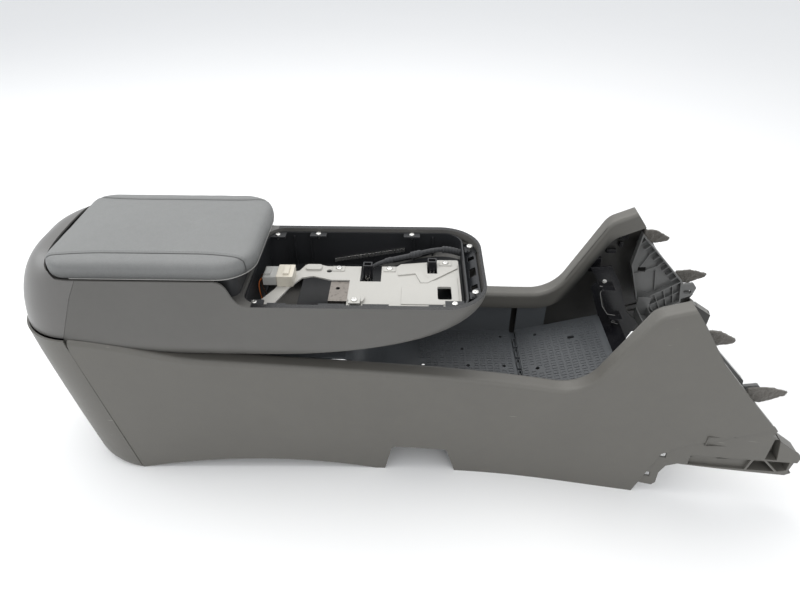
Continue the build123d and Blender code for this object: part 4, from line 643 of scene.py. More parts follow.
def seam_half(x, above=max):
    """Distance of the seam from the lid's middle at a place along the lid, in mm, as numbers or as nodes."""
    ahead = above(x - SEAM_FRONT_X, 0.0) / SEAM_FRONT_LONG
    behind = above(SEAM_REAR_X - x, 0.0) / SEAM_REAR_LONG
    return sizes().seam_half + ahead * ahead * SEAM_FRONT_OUT + behind * behind * SEAM_REAR_OUT


FINISHES = {}


def make_finishes():
    """Every finish, by the record's material slot, and some that only the dressing uses."""
    c = colours()
    panel, cover, bridge, tray = tuple(c.panel), tuple(c.cover), tuple(c.bridge), tuple(c.tray)
    FINISHES.update(
        # The side panels get painted shade on their inner faces below the rim.
        panel_plastic=moulded("panel_grain", panel, 0.44, 0.9, 0.06, 0.10, 0.35, scuffs=0.7, inside=0.97),
        cover_plastic=moulded("cover_grain", cover, 0.33, 0.9, 0.04, 0.08, 0.3, scuffs=0.2),
        bridge_plastic=moulded("bridge_grain", bridge, 0.46, 0.8, 0.05, 0.10, 0.35, scuffs=0.3, shelf=0.95),
        lid_leather=leather_skin("lid_grain", tuple(c.leather)),
        lid_inner_plastic=moulded("inner_plastic", (0.050, 0.051, 0.053), 0.5, 0.6, 0.03),
        bin_plastic=moulded("bin_plastic", (0.030, 0.031, 0.033), 0.5, 0.7, 0.04),
        mat_rubber=moulded("mat_rubber", (0.020, 0.020, 0.021), 0.8, 0.5, 0.04),
        liner_plastic=moulded("liner_plastic", (0.016, 0.017, 0.019), 0.48, 0.7, 0.03, 0.2, 0.2),
        nose_gloss=glossy("nose_gloss", (0.012, 0.013, 0.015), 0.14),
        plate_plastic=moulded("plate_plastic", tuple(c.plate), 0.42, 0.9, 0.03, 0.05, 0.15, scuffs=0.1),
        bright_steel=metal("bright_zinc", (0.80, 0.79, 0.76), 0.26),
        bracket_steel=metal("bracket_steel", (0.24, 0.22, 0.20), 0.5, 0.3, 0.3),
        cream_plastic=moulded("cream_plastic", (0.66, 0.62, 0.53), 0.34, 0.5, 0.01, 0.05, 0.1),
        grey_plastic=moulded("grey_plastic", (0.46, 0.46, 0.44), 0.34, 0.5, 0.01, 0.05, 0.1),
        orange_wire=wire_skin("orange_skin", (0.52, 0.13, 0.025)),
        brown_wire=wire_skin("brown_skin", (0.10, 0.042, 0.02)),
        loom_sleeve=sleeve_skin("loom_tape", (0.032, 0.033, 0.036)),
        clip_plastic=moulded("clip_plastic", (0.016, 0.016, 0.018), 0.3, 0.5, 0.01, 0.2, 0.3),
        tray_plastic=moulded("tray_grain", tray, 0.42, 0.7, 0.05, 0.12, 0.4, scuffs=0.15),
        # The brace's grey is lighter than its dark plastic, as painted reflection.
        brace_plastic=glossy("brace_plastic", (0.130, 0.131, 0.128), 0.24, 0.12),
        frame_plastic=glossy("frame_plastic", (0.010, 0.010, 0.012), 0.13),
        felt=felt_skin("felt", tuple(c.felt)),
        strip_metal=metal("strip_metal", (0.62, 0.61, 0.58), 0.3),
    )
    thread = [value * 0.75 for value in c.leather]
    FINISHES["lid_thread"] = wire_skin("lid_thread", thread, 0.6)
    FINISHES["trim_strip"] = moulded("trim_strip", (0.34, 0.335, 0.32), 0.35, 0.5, 0.01, 0.05, 0.2)


def give_finish(piece, finish):
    """The piece's only material."""
    piece.data.materials.clear()
    piece.data.materials.append(FINISHES[finish])


def new_object(name, data):
    """An object at the origin from a mesh, a curve, a light or a camera."""
    made = bpy.data.objects.new(name, data)
    bpy.context.scene.collection.objects.link(made)
    return made


def mesh_object(name, made):
    """A piece at the origin from a finished bmesh."""
    mesh = bpy.data.meshes.new(name)
    made.to_mesh(mesh)
    made.free()
    return new_object(name, mesh)


def add_bands(made, rows, kept=None):
    """Faces from each closed row of points to the next, all round or at the kept places."""
    count = len(rows[0])
    for low, high in zip(rows, rows[1:]):
        for k in range(count):
            if kept is None or kept(k):
                after = (k + 1) % count
                made.faces.new((low[k], low[after], high[after], high[k]))


def add_box(made, x, y, z):
    """A box from its spans in mm."""
    low, high = Vector((x[0], y[0], z[0])), Vector((x[1], y[1], z[1]))
    for vertex in bmesh.ops.create_cube(made, size=1.0)["verts"]:
        share = vertex.co + Vector((0.5, 0.5, 0.5))
        vertex.co = Vector(low[i] + (high[i] - low[i]) * share[i] for i in range(3)) * MM


def plain_mesh(piece):
    """Turns the piece with its modifiers into a plain mesh."""
    bpy.context.view_layer.update()
    graph = bpy.context.evaluated_depsgraph_get()
    mesh = bpy.data.meshes.new_from_object(piece.evaluated_get(graph))
    mesh.name = piece.name
    piece.modifiers.clear()
    old = piece.data
    piece.data = mesh
    bpy.data.meshes.remove(old)
    return piece


def smooth(piece, angle=38.0):
    """Smooth faces with crisp edges above an angle in degrees."""
    made = bmesh.new()
    made.from_mesh(piece.data)
    for face in made.faces:
        face.smooth = True
    for edge in made.edges:
        flat = len(edge.link_faces) == 2 and edge.calc_face_angle(0.0) < math.radians(angle)
        edge.smooth = flat
    made.to_mesh(piece.data)
    made.free()
    return piece


def finish_piece(piece, finish, body, slot, *nodes):
    """Material, body and replaced nodes of one piece; its slot argument is not used."""
    give_finish(piece, finish)
    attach(piece, body)
    if nodes:
        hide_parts(*nodes)
    return piece


def route_curve(name, route, radius):
    """A round cord on a smooth spline through the route's control points."""
    curve = bpy.data.curves.new(name, "CURVE")
    curve.dimensions = "3D"
    curve.resolution_u = 10
    curve.bevel_depth = 1.0
    curve.bevel_resolution = 4
    curve.use_fill_caps = True
    spline = curve.splines.new("NURBS")
    spline.points.add(len(route) - 1)
    for point, place in zip(spline.points, route):
        point.co = (*place, 1.0)
        point.radius = radius
    spline.order_u = 3
    spline.use_endpoint_u = True
    return new_object(name, curve)


def route_points(piece):
    """Points along a cord's own spline."""
    depth = piece.data.bevel_depth
    caps = piece.data.use_fill_caps
    piece.data.bevel_depth = 0.0
    piece.data.use_fill_caps = False
    bpy.context.view_layer.update()
    graph = bpy.context.evaluated_depsgraph_get()
    mesh = bpy.data.meshes.new_from_object(piece.evaluated_get(graph))
    points = [vertex.co.copy() for vertex in mesh.vertices]
    bpy.data.meshes.remove(mesh)
    piece.data.bevel_depth = depth
    piece.data.use_fill_caps = caps
    return points


def line_length(points):
    """Length of a run of points."""
    return sum((b - a).length for a, b in zip(points, points[1:]))


def sleeve(name, points, start, end, radius, laps):
    """A wrap round part of a cord, from one share of its length to another, in overlapping laps."""
    total = line_length(points)
    made = bmesh.new()
    rings = []
    steps = laps * 3
    turns = [2.0 * math.pi * k / WRAP_SIDES for k in range(WRAP_SIDES)]
    for step in range(steps + 1):
        want = (start + (end - start) * step / steps) * total
        walked = 0.0
        for a, b in zip(points, points[1:]):
            piece = (b - a).length
            if walked + piece >= want or b is points[-1]:
                centre = a.lerp(b, min(1.0, (want - walked) / piece))
                ahead = (b - a).normalized()
                break
            walked += piece
        lift = radius * (WRAP_END if step in (0, steps) else 1.0 + WRAP_STEP * (step % 3))
        side = ahead.cross(Vector((0, 0, 1))).normalized()
        up = side.cross(ahead)
        rings.append([made.verts.new(centre + (side * math.cos(t) + up * math.sin(t)) * lift) for t in turns])
    add_bands(made, rings)
    made.faces.new(list(reversed(rings[0])))
    made.faces.new(rings[-1])
    bmesh.ops.recalc_face_normals(made, faces=made.faces)
    return smooth(mesh_object(name, made), 50.0)


def lid_outline():
    """Points of the lid's outline in plan with their outward directions, in mm, all round from the front."""
    points = []

    def straight(start, end, facing):
        count = max(1, round(math.dist(start, end) / OUTLINE_STEP))
        for k in range(count):
            x, y = (first + (last - first) * (k / count) for first, last in zip(start, end))
            points.append((x, y, *facing))

    def corner(cx, cy, radius, first, last):
        count = round(radius * math.radians(last - first) / CORNER_STEP)
        for k in range(count):
            turn = math.radians(first + (last - first) * k / count)
            nx, ny = math.cos(turn), math.sin(turn)
            points.append((cx + radius * nx, cy + radius * ny, nx, ny))

    front_y, rear_y = LID_HALF - LID_FRONT_R, LID_HALF - LID_REAR_R
    front_x, rear_x = LID_FRONT - LID_FRONT_R, LID_REAR + LID_REAR_R
    straight((LID_FRONT, 0.0), (LID_FRONT, front_y), (1, 0))
    corner(front_x, front_y, LID_FRONT_R, 0, 90)
    straight((front_x, LID_HALF), (rear_x, LID_HALF), (0, 1))
    corner(rear_x, rear_y, LID_REAR_R, 90, 180)
    straight((LID_REAR, rear_y), (LID_REAR, 0.0), (-1, 0))
    points.append((LID_REAR, 0.0, -1.0, 0.0))
    return points + [(x, -y, nx, -ny) for x, y, nx, ny in reversed(points[1:-1])]


def lid_crown(x, y):
    """Extra height of the lid's top at a place, in mm."""
    middle = (LID_REAR + LID_FRONT) / 2
    across = max(0.0, 1.0 - (abs(y) / CROWN_WIDE) ** CROWN_ACROSS)
    along = max(0.0, 1.0 - (abs(x - middle) / CROWN_LONG) ** CROWN_ALONG)
    ahead = max(0.0, (x - DROP_X) / DROP_LONG)
    return sizes().crown * across * along - sizes().front_drop * ahead * ahead * DROP_SHARE


def lid_rings():
    """Rings of points over the lid's closed skin, in mm, from its pocket round its foot to its crown."""
    outline = lid_outline()
    first, last = LID_REAR + LID_HALF, LID_FRONT - LID_HALF
    spine = [(min(max(x, first), last), 0.0) for x, y, nx, ny in outline]
    wide = [ROLL * 1.6 - (ROLL * 0.6 * nx * nx if nx < 0 else 0.0) for x, y, nx, ny in outline]
    back = [1.0 - (nx * nx if nx < 0 else 0.0) for x, y, nx, ny in outline]

    def ring(inset, z, pull=0.0, height=None):
        places = []
        for k, (x, y, nx, ny) in enumerate(outline):
            deep = inset(k) if callable(inset) else inset
            px, py = x - nx * deep, y - ny * deep
            px += (spine[k][0] - px) * pull
            py += (spine[k][1] - py) * pull
            top = z + (lid_crown(px, py) * height if height else 0.0)
            places.append(Vector((px, py, top)))
        return places

    rings = [ring(LID_WALL, LID_POCKET, pull) for pull in POCKET_PULLS]
    rings += [ring(LID_WALL, z) for z in POCKET_RINGS]
    rings.append(ring(FOOT_IN, LID_FOOT))
    for inset, z in SIDE_RINGS:
        rings.append(ring(lambda k, inset=inset: inset * back[k], z))
    for angle in EDGE_TURNS:
        turn = math.radians(angle)
        out = 1.0 - math.cos(turn)
        crown = math.sin(turn) ** EDGE_CROWN
        z = PIN_Z + ROLL * math.sin(turn)
        rings.append(ring(lambda k, out=out: SIDE_IN * back[k] + wide[k] * out, z, 0.0, crown))
    for pull in TOP_PULLS:
        rings.append(ring(lambda k: SIDE_IN * back[k] + wide[k], PIN_Z + ROLL, pull, 1.0))
    return rings


def skin_of_rings(name, rings):
    """A closed mesh from rings in mm, drawn together at both ends."""
    made = bmesh.new()
    add_bands(made, [[made.verts.new(place * MM) for place in ring] for ring in rings])
    bmesh.ops.remove_doubles(made, verts=made.verts, dist=0.00002)
    bmesh.ops.dissolve_degenerate(made, edges=made.edges, dist=0.00001)
    bmesh.ops.recalc_face_normals(made, faces=made.faces)
    return mesh_object(name, made)


def swell(piece, held, most):
    """Puffs a closed skin with air as cloth, with some points held, by no more than a distance."""
    group = piece.vertex_groups.new(name="held")
    group.add(held, 1.0, "REPLACE")
    cloth = piece.modifiers.new("Air", "CLOTH")
    cloth.settings.quality = 5
    cloth.settings.mass = 0.2
    cloth.settings.tension_stiffness = 30.0
    cloth.settings.compression_stiffness = 30.0
    cloth.settings.shear_stiffness = 12.0
    cloth.settings.bending_stiffness = 2.0
    cloth.settings.use_pressure = True
    cloth.settings.uniform_pressure_force = 4.0
    cloth.settings.vertex_group_mass = group.name
    cloth.settings.effector_weights.gravity = 0.0
    cloth.collision_settings.use_collision = False
    scene = bpy.context.scene
    for number in range(1, CLOTH_FRAMES + 1):
        scene.frame_set(number)
    graph = bpy.context.evaluated_depsgraph_get()
    blown = piece.evaluated_get(graph).data
    places = [vertex.co.copy() for vertex in blown.vertices]
    piece.modifiers.remove(cloth)
    scene.frame_set(1)
    for vertex, place in zip(piece.data.vertices, places):
        move = place - vertex.co
        if move.length > most:
            move = move.normalized() * most
        vertex.co += move
    piece.vertex_groups.remove(group)


def cut_out(piece, cutters):
    """Takes other closed shapes out of a piece."""
    for cutter in cutters:
        cut = piece.modifiers.new("Cut", "BOOLEAN")
        cut.object = cutter
        cut.operation = "DIFFERENCE"
        cut.solver = "EXACT"
        plain_mesh(piece)
        mesh = cutter.data
        bpy.data.objects.remove(cutter)
        bpy.data.meshes.remove(mesh)
    return piece


def cutter_box(x, y, z):
    """A box to cut with, from its spans in mm."""
    made = bmesh.new()
    add_box(made, x, y, z)
    return mesh_object("cutter", made)


def cutter_bar(x, z, radius, half):
    """A round bar along Y to cut with, in mm."""
    made = bmesh.new()
    turned = Matrix.Translation(Vector((x, 0, z)) * MM) @ Matrix.Rotation(math.radians(90), 4, "X")
    ends = {"radius1": radius * MM, "radius2": radius * MM, "depth": 2 * half * MM}
    bmesh.ops.create_cone(made, cap_ends=True, segments=32, matrix=turned, **ends)
    return mesh_object("cutter", made)


def seam_gap(place):
    """Distance of a point on the lid's skin, in metres, from the nearer seam, in mm."""
    x, y = place.x / MM, place.y / MM
    return abs(abs(y) - seam_half(x))


def skin_move(vertex):
    """How far the groove, the pillows beside it and the leather's ripples move a point of the lid's skin."""
    outer = vertex.co.z > DRESSED_FROM and vertex.normal.z > -0.5
    if not outer or in_pocket(vertex.co):
        return Vector()
    gap = seam_gap(vertex.co)
    fade = min(1.0, max(0.0, (vertex.co.z - DRESSED_FROM) / DRESSED_FADE))
    groove = math.exp(-((gap / SEAM_WIDE) ** 2)) * sizes().seam_deep
    pillow = math.exp(-(((gap - PILLOW_PLACE) / PILLOW_WIDE) ** 2)) * PILLOW_TALL
    ripple = sum(noise.noise(vertex.co * scale) * tall for scale, tall in RIPPLES)
    ripple *= min(1.0, gap / RIPPLE_CALM)
    return vertex.normal * ((pillow - groove + ripple) * fade * MM)


def build_lid():
    """The padded lid: leather skin puffed by air, pinched at two long seams, hollow underneath."""
    lid = skin_of_rings("lid_cushion", lid_rings())
    held = []
    for vertex in lid.data.vertices:
        low = vertex.co.z < HELD_BELOW
        pocket = abs(vertex.co.z - LID_POCKET * MM) < POCKET_NEAR
        rolled = vertex.co.x < (PIN_X + 1.0) * MM
        if low or pocket or rolled or seam_gap(vertex.co) < SEAM_HELD:
            held.append(vertex.index)
    swell(lid, held, sizes().puff * MM)
    rounder = lid.modifiers.new("Smooth", "SUBSURF")
    rounder.levels = 1
    rounder.render_levels = 1
    plain_mesh(lid)
    lid.data.update()
    moves = [skin_move(vertex) for vertex in lid.data.vertices]
    for vertex, move in zip(lid.data.vertices, moves):
        vertex.co += move
    span = EAR_Y + EAR_WIDE + PIN_PAST
    channel = [
        cutter_bar(PIN_X, PIN_Z, PIN_ROOM, span),
        cutter_box((PIN_X - PIN_ROOM, PIN_X + PIN_ROOM), (-span, span), (LID_FOOT - PIN_LOW, PIN_Z)),
    ]
    for side in (-1, 1):
        along = (PIN_X - EAR_REAR, PIN_X + PIN_ROOM)
        across = sorted((side * (EAR_Y - EAR_GAP), side * (EAR_Y + EAR_WIDE + EAR_GAP)))
        channel.append(cutter_box(along, across, (LID_FOOT - EAR_LOW, PIN_Z + PIN_ROOM)))
    cut_out(lid, channel)
    smooth(lid, 40.0)
    finish_piece(lid, "lid_leather", "armrest", "lid_leather", "lid_cover")
    return lid


def in_pocket(place):
    """Whether a point lies on the pocket's walls and not on the outer skin."""
    x, y = place.x / MM, abs(place.y) / MM
    inside = LID_REAR + POCKET_IN < x < LID_FRONT - POCKET_IN and y < LID_HALF - POCKET_IN
    return inside and place.z < POCKET_BELOW


def surface_tree(name, values):
    """An empty Geometry Nodes tree with named inputs, as its nodes and a wire from each input."""
    group = bpy.data.node_groups.new(name, "GeometryNodeTree")
    for way in ("INPUT", "OUTPUT"):
        group.interface.new_socket("Geometry", in_out=way, socket_type="NodeSocketGeometry")
    for label, value in values.items():
        kind = "NodeSocketInt" if isinstance(value, int) else "NodeSocketFloat"
        group.interface.new_socket(label, in_out="INPUT", socket_type=kind).default_value = value
    nodes = Nodes(group)
    start = group.nodes.new("NodeGroupInput")
    return nodes, {label: Wire(nodes, start.outputs[label]) for label in ("Geometry", *values)}


def joined_shapes(nodes, shapes):
    """Several shapes as one."""
    joined = nodes.node("GeometryNodeJoinGeometry")
    for shape in shapes:
        nodes.tree.links.new(shape.socket, joined.socket.node.inputs[0])
    return joined


def turned_on_points(nodes, points, shape):
    """A shape on every point, turned as the point says."""
    turn = nodes.node("GeometryNodeInputNamedAttribute", {"data_type": "FLOAT_VECTOR"}, {"Name": "turn"})
    turned = nodes.node("FunctionNodeEulerToRotation", None, {"Euler": turn})
    values = {"Points": points, "Instance": shape, "Rotation": turned}
    return nodes.node("GeometryNodeInstanceOnPoints", None, values)


def grown(piece, nodes, geometry, finish, values):
    """Ends a tree in Realize Instances and Set Material, runs it on a piece and leaves a plain mesh."""
    real = nodes.node("GeometryNodeRealizeInstances", None, [geometry])
    done = nodes.node("GeometryNodeSetMaterial", None, {"Geometry": real, "Material": FINISHES[finish]})
    out = nodes.tree.nodes.new("NodeGroupOutput")
    nodes.tree.links.new(done.socket, out.inputs[0])
    grow = piece.modifiers.new("Grow", "NODES")
    grow.node_group = nodes.tree
    for item in nodes.tree.interface.items_tree:
        if item.in_out == "INPUT" and item.name in values:
            grow[item.identifier] = values[item.name]
    return plain_mesh(piece)


def points_piece(name, places, turns=None):
    """A mesh of loose points, in mm, each with a turn in radians."""
    mesh = bpy.data.meshes.new(name)
    mesh.from_pydata([Vector(place) * MM for place in places], [], [])
    if turns:
        kept = mesh.attributes.new("turn", "FLOAT_VECTOR", "POINT")
        for item, turn in zip(kept.data, turns):
            item.vector = turn
    return new_object(name, mesh)


def frames_on_points(piece, finish, values):
    """Raised rectangular outlines on a piece's points."""
    nodes, wires = surface_tree(piece.name + "_tree", values)
    long, wide, line, tall = (wires[label] for label in ("Long", "Wide", "Line", "Tall"))
    sides = []
    for across in (-0.5, 0.5):
        for lengthwise in (True, False):
            if lengthwise:
                extent = {"X": long, "Y": line, "Z": tall}
                offset = {"Y": (wide - line) * across, "Z": tall * 0.5}
            else:
                extent = {"X": line, "Y": wide - line * 2.0, "Z": tall}
                offset = {"X": (long - line) * across, "Z": tall * 0.5}
            bar = nodes.node("ShaderNodeCombineXYZ", None, extent)
            bar = nodes.node("GeometryNodeMeshCube", None, {"Size": bar})
            place = nodes.node("ShaderNodeCombineXYZ", None, offset)
            sides.append(nodes.node("GeometryNodeTransform", None, {"Geometry": bar, "Translation": place}))
    placed = turned_on_points(nodes, wires["Geometry"], joined_shapes(nodes, sides))
    return grown(piece, nodes, placed, finish, values)


def beads_on_points(piece, finish, values):
    """Small long beads, such as stitches, on a piece's points."""
    nodes, wires = surface_tree(piece.name + "_tree", values)
    extent = {"X": wires["Long"], "Y": wires["Wide"], "Z": wires["Tall"]}
    ball = nodes.node("GeometryNodeMeshUVSphere", None, {"Segments": 8, "Rings": 5, "Radius": 0.5})
    shape = nodes.node("ShaderNodeCombineXYZ", None, extent)
    bead = nodes.node("GeometryNodeTransform", None, {"Geometry": ball, "Scale": shape})
    even = nodes.node("GeometryNodeSetShadeSmooth", None, {"Geometry": bead})
    return grown(piece, nodes, turned_on_points(nodes, wires["Geometry"], even), finish, values)


def furry(piece, finish, values):
    """Loose fibres all over a piece, kept together with it."""
    nodes, wires = surface_tree(piece.name + "_tree", values)
    body, density, long, thick, seed = (wires[k] for k in ("Geometry", "Density", "Long", "Thick", "Seed"))
    spread = nodes.node(
        "GeometryNodeDistributePointsOnFaces", None, {"Mesh": body, "Density": density, "Seed": seed}
    )
    fibre = nodes.node(
        "GeometryNodeMeshCone",
        {"fill_type": "NONE"},
        {"Vertices": 3, "Radius Top": thick * 0.3, "Radius Bottom": thick, "Depth": long},
    )
    lean = nodes.node(
        "FunctionNodeRandomValue",
        {"data_type": "FLOAT_VECTOR"},
        {0: [-most for most in FIBRE_LEAN], 1: FIBRE_LEAN, "Seed": seed + 5.0},
    )
    tilt = nodes.node("FunctionNodeEulerToRotation", None, {"Euler": lean})
    turning = {"Rotation": nodes.more(spread, "Rotation"), "Rotate By": tilt}
    both = nodes.node("FunctionNodeRotateRotation", {"rotation_space": "LOCAL"}, turning)
    grow = nodes.node(
        "FunctionNodeRandomValue", {"data_type": "FLOAT"}, {2: FIBRE_SHORT, 3: 1.0, "Seed": seed + 9.0}, 1
    )
    placed = nodes.node(
        "GeometryNodeInstanceOnPoints",
        None,
        {"Points": spread, "Instance": fibre, "Rotation": both, "Scale": grow},
    )
    return grown(piece, nodes, joined_shapes(nodes, (placed, body)), finish, values)


def lid_surface(lid, x, y):
    """Height and slope of the lid's top at a place, in mm, found by a ray from above."""
    hit, place, facing, index = lid.ray_cast(Vector((x, y, RAY_ABOVE)) * MM, Vector((0, 0, -1)))
    return place / MM, facing


def build_stitches(lid):
    """A row of small stitches along the inner side of each seam."""
    bpy.context.view_layer.update()
    places, turns = [], []
    for side in (-1, 1):
        x = LID_REAR + STITCH_REAR
        while x < LID_FRONT - STITCH_FRONT:
            place, facing = lid_surface(lid, x, side * (seam_half(x) - STITCH_OFF))
            ahead = Vector((1.0, side * (seam_half(x + 1.0) - seam_half(x)), 0.0))
            ahead = (ahead - facing * ahead.dot(facing)).normalized()
            across = facing.cross(ahead).normalized()
            turned = Matrix((ahead, across, facing)).transposed().to_euler()
            places.append(place + facing * STITCH_LIFT)
            turns.append(tuple(turned))
            x += sizes().stitch_pitch
    stitches = points_piece("lid_stitches", places, turns)
    beads_on_points(stitches, "lid_thread", {label: length * MM for label, length in STITCH.items()})
    return finish_piece(stitches, "lid_thread", "armrest", "lid_leather")


def build_trim():
    """Thin pale edge of the lid's base that shows under the leather."""
    outline = lid_outline()
    made = bmesh.new()
    rows = []
    for inset, z in BASE_EDGE:
        places = [Vector((x - nx * inset, y - ny * inset, z)) * MM for x, y, nx, ny in outline]
        rows.append([made.verts.new(place) for place in places])
    add_bands(made, rows + rows[:1], lambda k: outline[k][0] > LID_REAR + LID_REAR_R)
    bmesh.ops.delete(made, geom=[v for v in made.verts if not v.link_faces], context="VERTS")
    ends = [edge for edge in made.edges if len(edge.link_faces) == 1]
    bmesh.ops.holes_fill(made, edges=ends)
    bmesh.ops.recalc_face_normals(made, faces=made.faces)
    trim = smooth(mesh_object("lid_base_edge", made), 50.0)
    return finish_piece(trim, "trim_strip", "armrest", "lid_inner_plastic")


def clear_of_holes(x, y, room):
    """Whether a place on the tray lies clear of its holes."""
    return all(abs(x - hx) > room or abs(y - hy) > room for hx, hy in TRAY_HOLES)


def build_treads():
    """Raised outlines in staggered rows on both tray floors."""
    pitch = sizes().tread_pitch
    values = {label: length * MM for label, length in TREAD.items()}
    values["Tall"] = sizes().tread_tall * MM
    slope = (TRAY_FRONT_Z - TRAY_Z) / (TRAY_FRONT_X - TRAY_JOINT_X)
    for name, (first, last) in TREAD_SPANS.items():
        climb = slope if first > TRAY_JOINT_X else 0.0
        places, turns = [], []
        column = 0
        x = first
        while x <= last:
            y = -TREAD_HALF + (column % 2) * pitch * 0.5
            while y <= TREAD_HALF:
                if clear_of_holes(x, y, TREAD_CLEAR):
                    places.append((x, y, TRAY_Z + climb * (x - TRAY_JOINT_X) - SUNK))
                    turns.append((0.0, -math.atan(climb), 0.0))
                y += pitch
            x += pitch * TREAD_ROWS * math.cos(math.atan(climb))
            column += 1
        treads = points_piece(name, places, turns)
        frames_on_points(treads, "tray_plastic", values)
        finish_piece(treads, "tray_plastic", "console", "tray_plastic")


def build_groove_ribs():
    """Small cells that stiffen the joint groove between the two tray floors."""
    places = [(GROOVE_END_X - CELL_IN, y, GROOVE_Z - SUNK) for y in CELL_PLACES]
    ribs = points_piece("groove_cells", places, [(0.0, 0.0, 0.0)] * len(places))
    frames_on_points(ribs, "tray_plastic", {label: length * MM for label, length in CELL.items()})
    return finish_piece(ribs, "tray_plastic", "console", "tray_plastic")


def panel_face(x, z, side, outside=False):
    """Y of a side panel's inner or outer face at a place, in mm, found by a ray across it."""
    panel = frame["nodes"]["left_side_panel" if side > 0 else "right_side_panel"]
    start, way, usual = (RAY_OUTSIDE, -side, PANEL_OUTSIDE) if outside else (RAY_INSIDE, side, PANEL_INSIDE)
    hit, place, facing, index = panel.ray_cast(Vector((x, side * start, z)) * MM, Vector((0, way, 0)))
    return place.y / MM if hit else side * usual


def joined_boxes(name, boxes, rounding):
    """One piece from several boxes in mm with rounded edges."""
    made = bmesh.new()
    for box in boxes:
        add_box(made, *box)
    bmesh.ops.bevel(made, geom=list(made.edges), offset=rounding * MM, segments=2, affect="EDGES")
    return smooth(mesh_object(name, made), 40.0)


def build_rail_clips():
    """Black blocks of the clip rail along each ear's inner face."""
    for word, side in SIDES.items():
        boxes = []
        for x, z in RAIL_CLIPS:
            face = panel_face(sum(x) / 2, sum(z) / 2, side)
            boxes.append((x, sorted((face - side * CLIP_DEEP, face + side * CLIP_SUNK)), z))
        clips = joined_boxes(word + "_rail_clips", boxes, 1.0)
        finish_piece(clips, "frame_plastic", "console", "frame_plastic")


def build_webs():
    """Thin black web behind each end of the cross frame, with a pale rod along its stepped edge as painted
    highlight.
    """
    for word, side in SIDES.items():
        made = bmesh.new()
        rings = []
        for y in WEB_FACES:
            rings.append([made.verts.new(Vector((x, side * y, z)) * MM) for x, z in (*WEB_EDGE, *WEB_FOOT)])
        for ring in rings:
            made.faces.new(ring)
        add_bands(made, rings)
        bmesh.ops.recalc_face_normals(made, faces=made.faces)
        web = mesh_object(word + "_frame_web", made)
        finish_piece(web, "frame_plastic", "console", "frame_plastic")
        # Painted highlight: a pale rod along the web's stepped edge.
        route = [(x * MM, side * WEB_HIGHLIGHT_Y * MM, z * MM) for x, z in WEB_EDGE]
        edge = route_curve(word + "_web_highlight", route, WEB_HIGHLIGHT_R * MM)
        edge.data.splines[0].order_u = 2
        finish_piece(edge, "trim_strip", "console", "frame_plastic")


def build_pads():
    """Raised outlines on the outer face of each panel's front flange."""
    for word, side in SIDES.items():
        boxes = []
        for x, z in FLANGE_PADS:
            face = panel_face(sum(x) / 2, sum(z) / 2, side, outside=True)
            y = sorted((face - side * PAD_SUNK, face + side * PAD_TALL))
            for low in (z[0], z[1] - PAD_LINE):
                boxes.append((x, y, (low, low + PAD_LINE)))
            for low in (x[0], x[1] - PAD_LINE):
                boxes.append(((low, low + PAD_LINE), y, (z[0] + PAD_LINE, z[1] - PAD_LINE)))
        pads = joined_boxes(word + "_flange_pads", boxes, 0.25)
        finish_piece(pads, "panel_plastic", "console", "panel_plastic")


def build_felt(node, long, tall, drop, seed):
    """One felt tongue: matted core with a ragged edge and loose fibres."""
    low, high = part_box(node)
    x, z = low.x / MM, (low.z + high.z) / 2 / MM
    y = (low.y / MM, high.y / MM)
    shape = (
        (x, z - tall / 2),
        (x, z + tall / 2),
        (x + long * 0.45, z + tall / 2 + 1.0 - drop * 0.3),
        (x + long, z - drop + 3.0),
        (x + long - 2.0, z - drop - 3.0),
        (x + long * 0.5, z - tall / 2 - drop * 0.4),
    )
    made = bmesh.new()
    face = made.faces.new([made.verts.new(Vector((px, y[0] + FELT_IN, pz)) * MM) for px, pz in shape])
    grown_face = bmesh.ops.extrude_face_region(made, geom=[face])
    moved = [item for item in grown_face["geom"] if isinstance(item, bmesh.types.BMVert)]
    bmesh.ops.translate(made, verts=moved, vec=(0, (y[1] - y[0] - 2 * FELT_IN) * MM, 0))
    bmesh.ops.recalc_face_normals(made, faces=made.faces)
    bmesh.ops.bevel(made, geom=list(made.edges), offset=FELT_ROUND * MM, segments=2, affect="EDGES")
    felt = mesh_object(node + "_pile", made)
    remesh = felt.modifiers.new("Even", "REMESH")
    remesh.mode = "VOXEL"
    remesh.voxel_size = FELT_GRID * MM
    plain_mesh(felt)
    (coarse, coarse_tall), (fine, fine_tall) = FELT_NOISE
    for vertex in felt.data.vertices:
        push = noise.noise(vertex.co * coarse + Vector((seed, 0, 0))) * coarse_tall
        push += noise.noise(vertex.co * fine + Vector((0, seed, 0))) * fine_tall
        vertex.co += vertex.normal * (push * MM)
    area = sum(polygon.area for polygon in felt.data.polygons)
    values = {
        "Density": sizes().fibre_count / area,
        "Long": sizes().fibre_long * MM,
        "Thick": FIBRE_THICK * MM,
        "Seed": seed,
    }
    furry(felt, "felt", values)
    return finish_piece(felt, "felt", "console", "felt", node)


class CONSOLE_OT_camera(bpy.types.Operator):
    """Sets the camera where the photograph was taken from."""

    bl_idname = "console.camera"
    bl_label = "Camera"

    def execute(self, context):
        down, turn = math.radians(CAMERA_DOWN), math.radians(CAMERA_TURN)
        ahead = Vector((math.sin(turn) * math.cos(down), math.cos(turn) * math.cos(down), -math.sin(down)))
        right = Vector((math.cos(turn), -math.sin(turn), 0.0))
        up = right.cross(ahead)
        data = bpy.data.cameras.new("camera")
        data.lens = CAMERA_LENS
        data.sensor_width = CAMERA_SENSOR
        data.clip_start = 0.02
        camera = new_object("camera", data)
        turned = Matrix((right, up, -ahead)).transposed().to_4x4()
        camera.matrix_world = Matrix.Translation(Vector(CAMERA_PLACE)) @ turned
        context.scene.camera = camera
        return {"FINISHED"}


